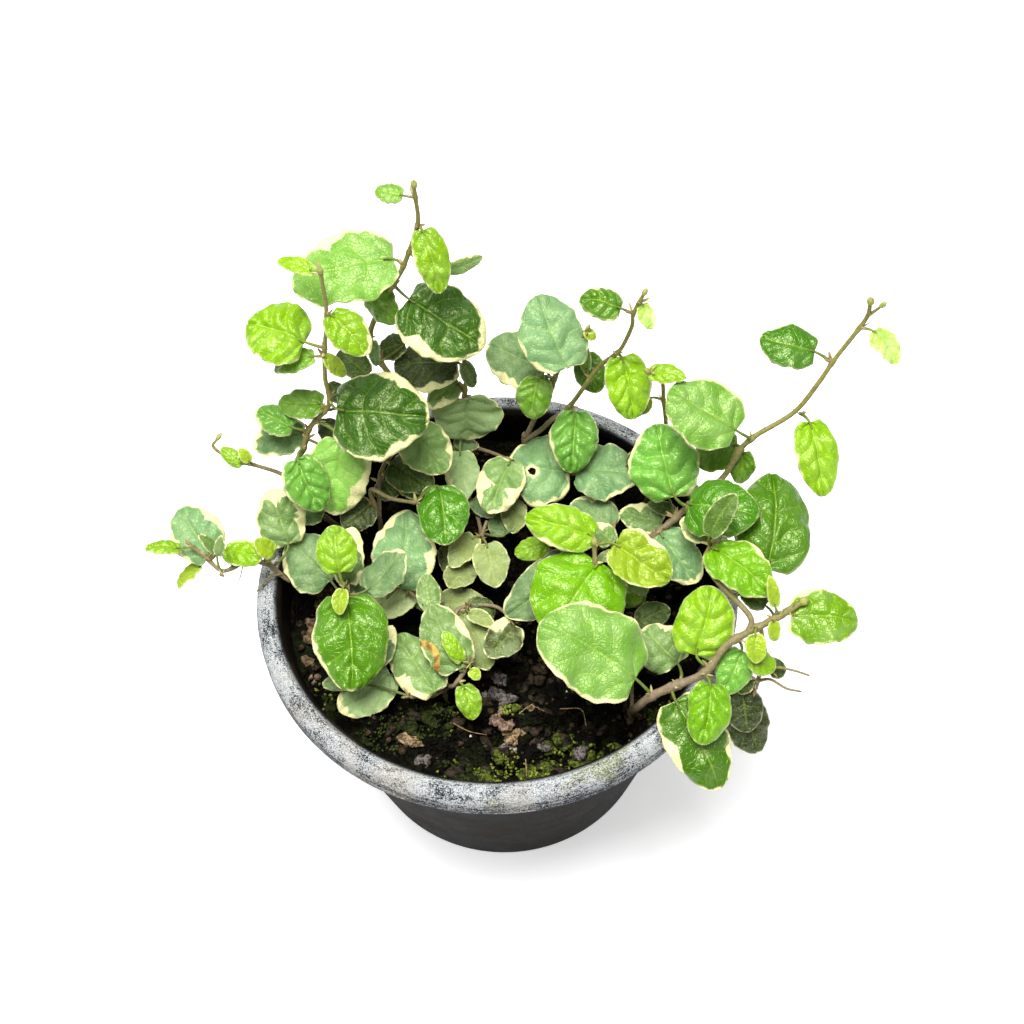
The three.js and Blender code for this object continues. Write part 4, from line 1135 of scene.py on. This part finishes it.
def along_curve(points, u):
    """A point of the smooth curve through the points, u from 0 at the first to 1 at the last."""
    last = len(points) - 1
    i = min(int(last * u), last - 1)
    w = last * u - i
    p1, p2 = points[i], points[i + 1]
    p0 = points[i - 1] if i > 0 else 2 * p1 - p2
    p3 = points[i + 2] if i + 2 <= last else 2 * p2 - p1
    d0, d1, d2 = [max((b - a).length, 1e-6) ** 0.5 for a, b in ((p0, p1), (p1, p2), (p2, p3))]
    m1 = ((p1 - p0) / d0 - (p2 - p0) / (d0 + d1) + (p2 - p1) / d1) * d1
    m2 = ((p2 - p1) / d1 - (p3 - p1) / (d1 + d2) + (p3 - p2) / d2) * d1
    return p1 + m1 * w + (-3 * p1 + 3 * p2 - 2 * m1 - m2) * w ** 2 + (2 * p1 - 2 * p2 + m1 + m2) * w ** 3


GROWN_WIDTH = 12  # in mm; narrower blades are flatter
SCAR_WIDTH = 1.3  # in mm, half of the brown ring's width with its soft edge


class Blade:
    """One leaf's own directions, and the shape of its blade."""

    def __init__(self, entry, veins):
        self.entry, self.look, self.veins = entry, entry["look"], veins
        self.start = Vector(entry["base"])
        rib = Vector(entry["tip"]) - self.start
        self.length, self.width = rib.length, entry["width"]
        self.along = rib / self.length
        out = (LIGHT - LIGHT.dot(self.along) * self.along).normalized()
        across = out.cross(self.along)
        turn = math.radians(entry["turn"])
        self.side = across * math.cos(turn) + out * math.sin(turn)
        self.face = out * math.cos(turn) - across * math.sin(turn)
        x, y, z = entry["base"]
        self.phase = 7 * x + 13 * y + 17 * z  # makes every blade's waves its own
        self.grown = min(1.0, self.width / GROWN_WIDTH)

    def half(self, s):
        return self.width / 2 * max(0.0, math.sin(math.pi * s ** 0.8)) ** 0.5

    def plain(self, s, t):
        """A point of the smooth blade in mm: s runs from base to tip, t from edge to edge."""
        look, half = self.look, self.half(s)
        sign = (t > 0) - (t < 0)
        ripple = look["wave"] * math.sin(4 * math.pi * s + self.phase + sign)
        lift = look["arch"] * self.length * 4 * s * (1 - s) + (look["fold"] + ripple) * 2 * half * t * t
        notch = min(1.0, half / (0.25 * self.width)) ** 2
        lobe = 0.08 * self.length * t * t * (1 - s) ** 3 * notch
        sway = 0.16 * self.length * s * (1 - s) * math.sin(self.phase)
        spot = self.start + self.along * (self.length * s - lobe)
        return spot + self.side * (half * t + sway) + self.face * lift

    def strip(self, s, t):
        """Which strip between the side veins a point lies in; whole numbers are the veins."""
        here = Vector((self.half(s) * t, self.length * s, self.phase))
        return self.veins * (s - 0.28 * abs(t) ** 1.2) + 0.4 * noise.noise(here / 5)

    def point(self, s, t):
        """A point of the blade with its scalloped edge, crinkles and the pillows between its veins."""
        half, side = self.half(s), abs(t)
        sign = (t > 0) - (t < 0)
        flat = Vector((half * t, self.length * s, self.phase))
        scallop = 0.012 * math.sin(15 * math.pi * s + self.phase * 1.7 + 2 * sign)
        scallop += 0.12 * noise.noise(Vector((s * 3.1, sign, self.phase)))
        scallop += 0.05 * noise.noise(Vector((s * 9.0, sign, self.phase)))
        crinkle = self.look["wave"] / 0.04 * 0.40 * self.grown * side ** 3
        crinkle *= math.sin(9 * math.pi * s + self.phase * 0.7 + 2.2 * sign)
        ridge = abs(math.sin(math.pi * self.strip(s, t))) ** 0.8
        pillow = ridge * (1 - side ** 6) * min(1.0, half * side / 0.9)
        near = noise.voronoi(flat / 2.3)[0]
        net = min(1.0, (near[1] - near[0]) * 2.2)
        groove = 0.10 * math.exp(-(half * t / 0.9) ** 2)
        swell = 0.07 * self.width * noise.noise(flat * (2.8 / max(self.width, 8)))
        relief = self.look["relief"]
        quilt = self.look["net"] * (net * (2 - net) - 0.6)
        lift = self.grown * (relief * (0.85 * pillow - 0.5) + quilt - groove)
        pucker = relief * (0.26 * abs(noise.noise(flat / 2.1)) + 0.10 * noise.noise(flat / 1.1))
        lift += crinkle + swell + self.grown * relief * pucker
        return self.plain(s, t) + self.side * (half * t * side * scallop) + self.face * lift

    def margin(self, s, t, seed):
        """How far in mm a point lies inside the cream margin; negative outside it."""
        width, *directions = self.entry["cream"]
        centre = self.start + self.along * (self.length * 0.5)
        spot = self.plain(s, t) - centre
        edge = min(self.half(s) * (1 - abs(t)), self.length * (1 - s) * 1.1, self.length * s * 1.4 + 0.6)
        bearing = math.atan2(spot.y, spot.x)
        reach = 0.15
        for direction in directions:
            off = (math.degrees(bearing) - direction + 180) % 360 - 180
            reach += 1.5 * math.exp(-(off / 38) ** 2)
        around = Vector((math.cos(bearing), math.sin(bearing), seed))
        uneven = noise.noise(around * 1.6) + 0.6 * noise.noise(around * 4.5)
        lobes = 0.55 * noise.noise(Vector((self.half(s) * t, self.length * s, self.phase)) / 2.4)
        margin = width * reach * (1 + 1.2 * uneven) + width * lobes - edge
        if self.entry["hole"]:
            s0, t0, radius = self.entry["hole"]
            away = math.hypot((s - s0) * self.length, (t - t0) * self.half(s0))
            margin = max(margin, radius + 0.8 - away)
        return margin

    def dead(self, s, t):
        """How brown a point is, from 0 to 1: a scar that runs in an arc across the blade."""
        if not self.entry["scar"]:
            return 0.0
        s0, t0, radius = self.entry["scar"]
        away = math.hypot((s - s0) * self.length, t * self.half(s) - t0 * self.half(s0))
        return max(0.0, SCAR_WIDTH - abs(away - radius))


def unit_blade(name, across, along):
    """A flat square of cells that every blade of one size is copied from, with its UV map."""
    deselect()
    bpy.ops.mesh.primitive_grid_add(x_subdivisions=across, y_subdivisions=along, size=2, calc_uvs=True)
    made = bpy.context.active_object
    made.name = name
    return made


def make_blade(seed, blade, number):
    """One blade as an open sheet, with its attributes."""
    piece = copy_of(seed, "blade")
    mesh = piece.data
    cream, dead, strips = [], [], []
    salt = number * 3.17
    for vertex in mesh.vertices:
        s = (1 - math.cos(math.pi * (vertex.co.y + 1) / 2)) / 2
        t = -vertex.co.x
        cream.append(blade.margin(s, t, salt))
        dead.append(blade.dead(s, t))
        strips.append(blade.strip(s, t))
        vertex.co = blade.point(s, t) * MM
    look = blade.look
    shade = 1 + 0.12 * math.sin(number * 2.3)
    tint = [min(1.0, c * shade) for c in look["colour"]]
    marked(mesh, "tint", "FLOAT_COLOR", (*tint, 1))
    marked(mesh, "finish", "FLOAT_VECTOR", (look["dull"], look["mottle"], blade.width / 2))
    marked(mesh, "cream", "FLOAT", cream)
    marked(mesh, "dead", "FLOAT", dead)
    marked(mesh, "strip", "FLOAT", strips)
    return piece


def pierce(piece, centre, radius):
    """A hole eaten through an open blade, round a place in mm, with its edge drawn to a ring."""
    edited(
        piece,
        lambda: bpy.ops.mesh.select_mode(type="FACE"),
        lambda: bpy.ops.mesh.select_all(action="DESELECT"),
    )
    for face in piece.data.polygons:
        face.select = (face.center / MM - centre).length < radius
    bpy.ops.object.mode_set(mode="EDIT")
    bpy.ops.mesh.delete(type="FACE")
    bpy.ops.mesh.select_mode(type="VERT")
    bpy.ops.object.mode_set(mode="OBJECT")
    for vertex in piece.data.vertices:
        away = vertex.co / MM - centre
        if away.length < 1.5 * radius:
            vertex.co = (centre + away.normalized() * radius * (0.75 + 0.5 * away.length / radius)) * MM


def rod(name, line, radii, tints, sides=2):
    """A round rod along points in mm, with radii in mm and a tint at each point."""
    piece = polyline(name, line, radii, MM, sides)
    mesh = piece.data
    ring = len(mesh.vertices) // len(line)
    made = mesh.attributes.new("tint", "FLOAT_COLOR", "POINT")
    flat = [c for i in range(len(mesh.vertices)) for c in (*tints[min(i // ring, len(tints) - 1)], 1)]
    made.data.foreach_set("color", flat)
    return piece


def mixed(a, b, w):
    return tuple(x + (y - x) * w for x, y in zip(a, b))


def bud(seed, place, along, size, tint, rng):
    """A bud or scale: a copy of the seed spindle, laid along a direction in mm."""
    piece = copy_of(seed, "bud")
    laid = along.normalized().to_track_quat("Z", "Y").to_matrix()
    turn = laid @ Matrix.Rotation(rng.uniform(0, 6.28), 3, "Z")
    broad, thin, long = size
    for vertex in piece.data.vertices:
        ball = vertex.co
        slim = math.cos(math.pi / 2 * max(0.0, ball.z)) ** 0.6 if ball.z > 0 else 1.0
        body = Vector((ball.x * broad / 2 * slim, ball.y * thin / 2 * slim, (ball.z + 0.8) * long / 1.8))
        vertex.co = (place + turn @ body) * MM
    marked(piece.data, "tint", "FLOAT_COLOR", (*tint, 1))
    return piece


SMALL, MIDDLE = 7, 13  # blades of a shorter span in mm have fewer cells
SMALL_CELLS, MIDDLE_CELLS = (14, 18), (26, 30)  # across and along
SAMPLES = 80  # places along a stem where a leaf stalk may stand
STEM_STEP, STALK_STEP, KNOT_REACH = 0.9, 1.2, 0.9  # in mm
GREEN_FROM, GREEN_OVER = 86, 34  # heights in mm over which a stem turns from bark to green
BARE_TIP = 92  # stems that end below this height in mm have a small bud like bark
TIP_GREEN = srgb(152, 156, 80)
SCALE_DARK, SCALE_LIGHT = srgb(144, 116, 74), srgb(200, 186, 132)


class FIG_OT_shoots(bpy.types.Operator):
    """Builds every shoot: its stems, leaf stalks, blades, buds and scales"""
    bl_idname = "fig.shoots"
    bl_label = "Shoots and leaves"

    def execute(self, context):
        scene = context.scene
        self.leaf, self.stem = scene.fig_leaf, scene.fig_stem
        self.rng = random.Random(SHOOT_SEED)
        self.number = 0
        self.seeds = {
            "large": unit_blade("large_blade", self.leaf.across, self.leaf.along),
            "middle": unit_blade("middle_blade", *MIDDLE_CELLS),
            "small": unit_blade("small_blade", *SMALL_CELLS),
        }
        deselect()
        bpy.ops.mesh.primitive_uv_sphere_add(segments=8, ring_count=8, radius=1)
        self.seeds["bud"] = context.active_object
        materials = [
            leaf_paint("leaf_upper", self.leaf), leaf_paint("leaf_underside", self.leaf, under=True),
            stem_paint(),
        ]
        for name, entry in SHOOTS.items():
            self.grow(name, entry, materials)
        for seed in self.seeds.values():
            bpy.data.objects.remove(seed)
        return {"FINISHED"}

    def grow(self, name, entry, materials):
        """One shoot as one piece: its blades, which get their thickness here, and its wood."""
        curves = [[Vector(p) for p in stem["points"]] for stem in entry["stems"]]
        samples = [along_curve(curve, i / SAMPLES) for curve in curves for i in range(SAMPLES + 1)]
        blades, wood, roots = [], [], []
        for leaf in entry["leaves"]:
            self.number += 1
            blade = Blade(leaf, self.leaf.veins)
            span = max(blade.length, blade.width)
            size = "small" if span < SMALL else "middle" if span < MIDDLE else "large"
            piece = make_blade(self.seeds[size], blade, self.number)
            if leaf["hole"]:
                s, t, radius = leaf["hole"]
                pierce(piece, blade.point(s, t), radius)
            blades.append(piece)
            root = min(samples, key=lambda p: (p - blade.start).length)
            roots.append((root, blade))
            wood.append(self.stalk(root, blade))
        foliage = joined(name + "_leaves", blades)
        edited(foliage, lambda: bpy.ops.mesh.remove_doubles(threshold=2e-6))
        paint_piece(foliage, *materials[:2])
        apply_modifier(foliage, "SOLIDIFY", thickness=self.leaf.thickness, offset=0.0, material_offset=1)
        for stem, curve in zip(entry["stems"], curves):
            wood.append(self.branch(stem, curve, [root for root, _ in roots]))
            if not stem.get("dead"):
                wood.append(self.tip_bud(curve, stem["thin"]))
        for root, blade in roots:
            wood += self.scales(root, blade)
        stems = joined(name + "_stems", wood)
        paint_piece(stems, materials[2])
        plant = joined(name + "_plant", [foliage, stems])
        smooth(plant)
        seat(plant, "foliage", name)

    def branch(self, stem, curve, roots):
        """A stem that tapers, and swells where a leaf stands."""
        length = sum((b - a).length for a, b in zip(curve, curve[1:]))
        count = max(8, round(length / STEM_STEP))
        line = [along_curve(curve, i / count) for i in range(count + 1)]
        radii, tints = [], []
        for i, spot in enumerate(line):
            u = i / count
            near = min(((spot - root).length for root in roots), default=9.0)
            swell = 1 + self.stem.knot * math.exp(-(near / KNOT_REACH) ** 2) + 0.08 * noise.noise(spot * 0.9)
            radii.append(0.88 * (stem["thick"] + (stem["thin"] - stem["thick"]) * u) * swell)
            slim = 0.8 - stem["thick"] * (1 - u)
            young = min(1.0, max(0.0, (spot.z - GREEN_FROM) / GREEN_OVER + 0.6 * slim))
            tints.append(mixed(self.stem.bark, self.stem.green, young))
        return rod("stem", line, radii, tints)

    def stalk(self, root, blade):
        """The leaf's own stalk, from the stem to the base of the blade."""
        reach = (root - blade.start).length
        bend = blade.start - 0.35 * reach * blade.along
        end = blade.plain(0.09, 0)
        count = max(5, round(reach / STALK_STEP))
        steps = [i / count for i in range(count + 1)]
        line = [root * (1 - u) ** 2 + bend * (2 * u * (1 - u)) + end * u ** 2 for u in steps]
        thick = self.stem.stalk_radius / MM * (0.75 + 0.25 * blade.grown)
        radii = [thick * (1 - 0.4 * i / count) for i in range(count + 1)]
        pale = mixed(self.stem.stalk, blade.look["colour"], 0.3)
        return rod("stalk", line, radii, [pale] * len(line))

    def tip_bud(self, curve, thin):
        """The bud at the end of a stem."""
        end = along_curve(curve, 1)
        along = end - along_curve(curve, 0.97)
        broad, flat, tint = (1.8, 1.6, self.stem.bark) if end.z < BARE_TIP else (3.4, 2.8, TIP_GREEN)
        return bud(self.seeds["bud"], end, along, (broad * thin, flat * thin, 2.4), tint, self.rng)

    def scales(self, root, blade):
        """The pair of pointed scales at the foot of a leaf stalk."""
        made = []
        away = (blade.start - root).normalized() if (blade.start - root).length > 0.2 else blade.along
        for turn in (-1, 1):
            lean = (away * 0.5 + UP * 0.6 + blade.side * (0.5 * turn)).normalized()
            tint = mixed(SCALE_DARK, SCALE_LIGHT, self.rng.random())
            size = (0.8, 0.35, self.rng.uniform(1.8, 3.2))
            made.append(bud(self.seeds["bud"], root + away * 0.2, lean, size, tint, self.rng))
        return made


KEY_PLACE, KEY_WIDTH = (-0.10, -0.03, 0.95), 0.55
FILL_PLACE, FILL_WIDTH = (0.55, -0.75, 0.75), 0.8
LIT_PLACE = Vector((0, 0, 0.08))  # what both lights face
FLOOR_WIDTH, FLOOR_CUTS = 8, 8


class FIG_OT_stage(bpy.types.Operator):
    """Sets the camera at the photograph's angle, the soft light and the pale floor"""
    bl_idname = "fig.stage"
    bl_label = "Camera, light and floor"

    def execute(self, context):
        scene, stage = context.scene, context.scene.fig_stage
        up = Vector((0, math.sin(stage.elevation), math.cos(stage.elevation)))
        back = Vector((0, -math.cos(stage.elevation), math.sin(stage.elevation)))
        right = Vector((1, 0, 0))
        level = math.cos(stage.roll) * right + math.sin(stage.roll) * up
        upright = math.cos(stage.roll) * up - math.sin(stage.roll) * right
        turned = Matrix((level, upright, back)).transposed().to_4x4()
        place = Vector(stage.target) + stage.distance * back
        bpy.ops.object.camera_add()
        camera = context.active_object
        camera.matrix_world = Matrix.Translation(place) @ turned
        camera.data.sensor_width, camera.data.lens = 36, stage.lens
        camera.data.clip_start, camera.data.clip_end = 0.01, 50
        scene.camera = camera

        bpy.ops.mesh.primitive_plane_add(size=FLOOR_WIDTH, location=(0, 0, 0))
        floor = context.active_object
        floor.name = "pale_floor"
        edited(floor, lambda: bpy.ops.mesh.subdivide(number_cuts=FLOOR_CUTS))
        paint = Paint(
            "pale_paper", Specular_IOR_Level=0.1, Emission_Color=(1, 1, 1, 1), Emission_Strength=0.45)
        grain = paint.noise(paint.place(), 0.02, 2.0, 0.5)
        shade = paint.blend(grain * 0.02, tuple(stage.paper), (0.88, 0.88, 0.88))
        paint_piece(floor, paint.set(Base_Color=shade, Roughness=0.9))

        self.light("key_light", KEY_PLACE, KEY_WIDTH, stage.key)
        self.light("fill_light", FILL_PLACE, FILL_WIDTH, stage.fill)
        world = bpy.data.worlds.new("pale_surroundings")
        scene.world = world
        world.use_nodes = True
        sky = world.node_tree.nodes["Background"]
        sky.inputs["Color"].default_value = (1, 1, 1, 1)
        sky.inputs["Strength"].default_value = stage.sky
        scene.view_settings.view_transform = "Standard"
        return {"FINISHED"}

    def light(self, name, place, size, power):
        """A square soft light that faces the plant."""
        bpy.ops.object.light_add(type="AREA", location=place)
        lamp = bpy.context.active_object
        lamp.name = name
        lamp.data.size, lamp.data.energy = size, power
        aim = LIT_PLACE - Vector(place)
        lamp.rotation_euler = aim.to_track_quat("-Z", "Y").to_euler()


class FIG_PT_panel(bpy.types.Panel):
    """Lists the plant's settings and the operators that build it"""
    bl_idname = "FIG_PT_panel"
    bl_label = "Potted creeping fig"
    bl_space_type = "VIEW_3D"
    bl_region_type = "UI"
    bl_category = "Fig"

    def draw(self, context):
        for operator in OPERATORS:
            self.layout.operator(operator.bl_idname)
        for name, group in GROUPS.items():
            box = self.layout.box()
            box.label(text=group.__doc__)
            for field in group.__annotations__:
                box.prop(getattr(context.scene, name), field)


GROUPS = {
    "fig_pot": FIG_PG_pot, "fig_soil": FIG_PG_soil, "fig_leaf": FIG_PG_leaf,
    "fig_stem": FIG_PG_stem, "fig_stage": FIG_PG_stage,
}
OPERATORS = (FIG_OT_stage, FIG_OT_pot, FIG_OT_soil, FIG_OT_litter, FIG_OT_shoots)


def register():
    for made in (*GROUPS.values(), *OPERATORS, FIG_PT_panel):
        bpy.utils.register_class(made)
    for name, group in GROUPS.items():
        setattr(bpy.types.Scene, name, bpy.props.PointerProperty(type=group))


def unregister():
    for name in GROUPS:
        delattr(bpy.types.Scene, name)
    for made in (FIG_PT_panel, *OPERATORS, *GROUPS.values()):
        bpy.utils.unregister_class(made)


def main():
    register()
    bpy.ops.fig.stage()
    bpy.ops.fig.pot()
    bpy.ops.fig.soil()
    bpy.ops.fig.litter()
    bpy.ops.fig.shoots()


if __name__ == "__main__":
    main()
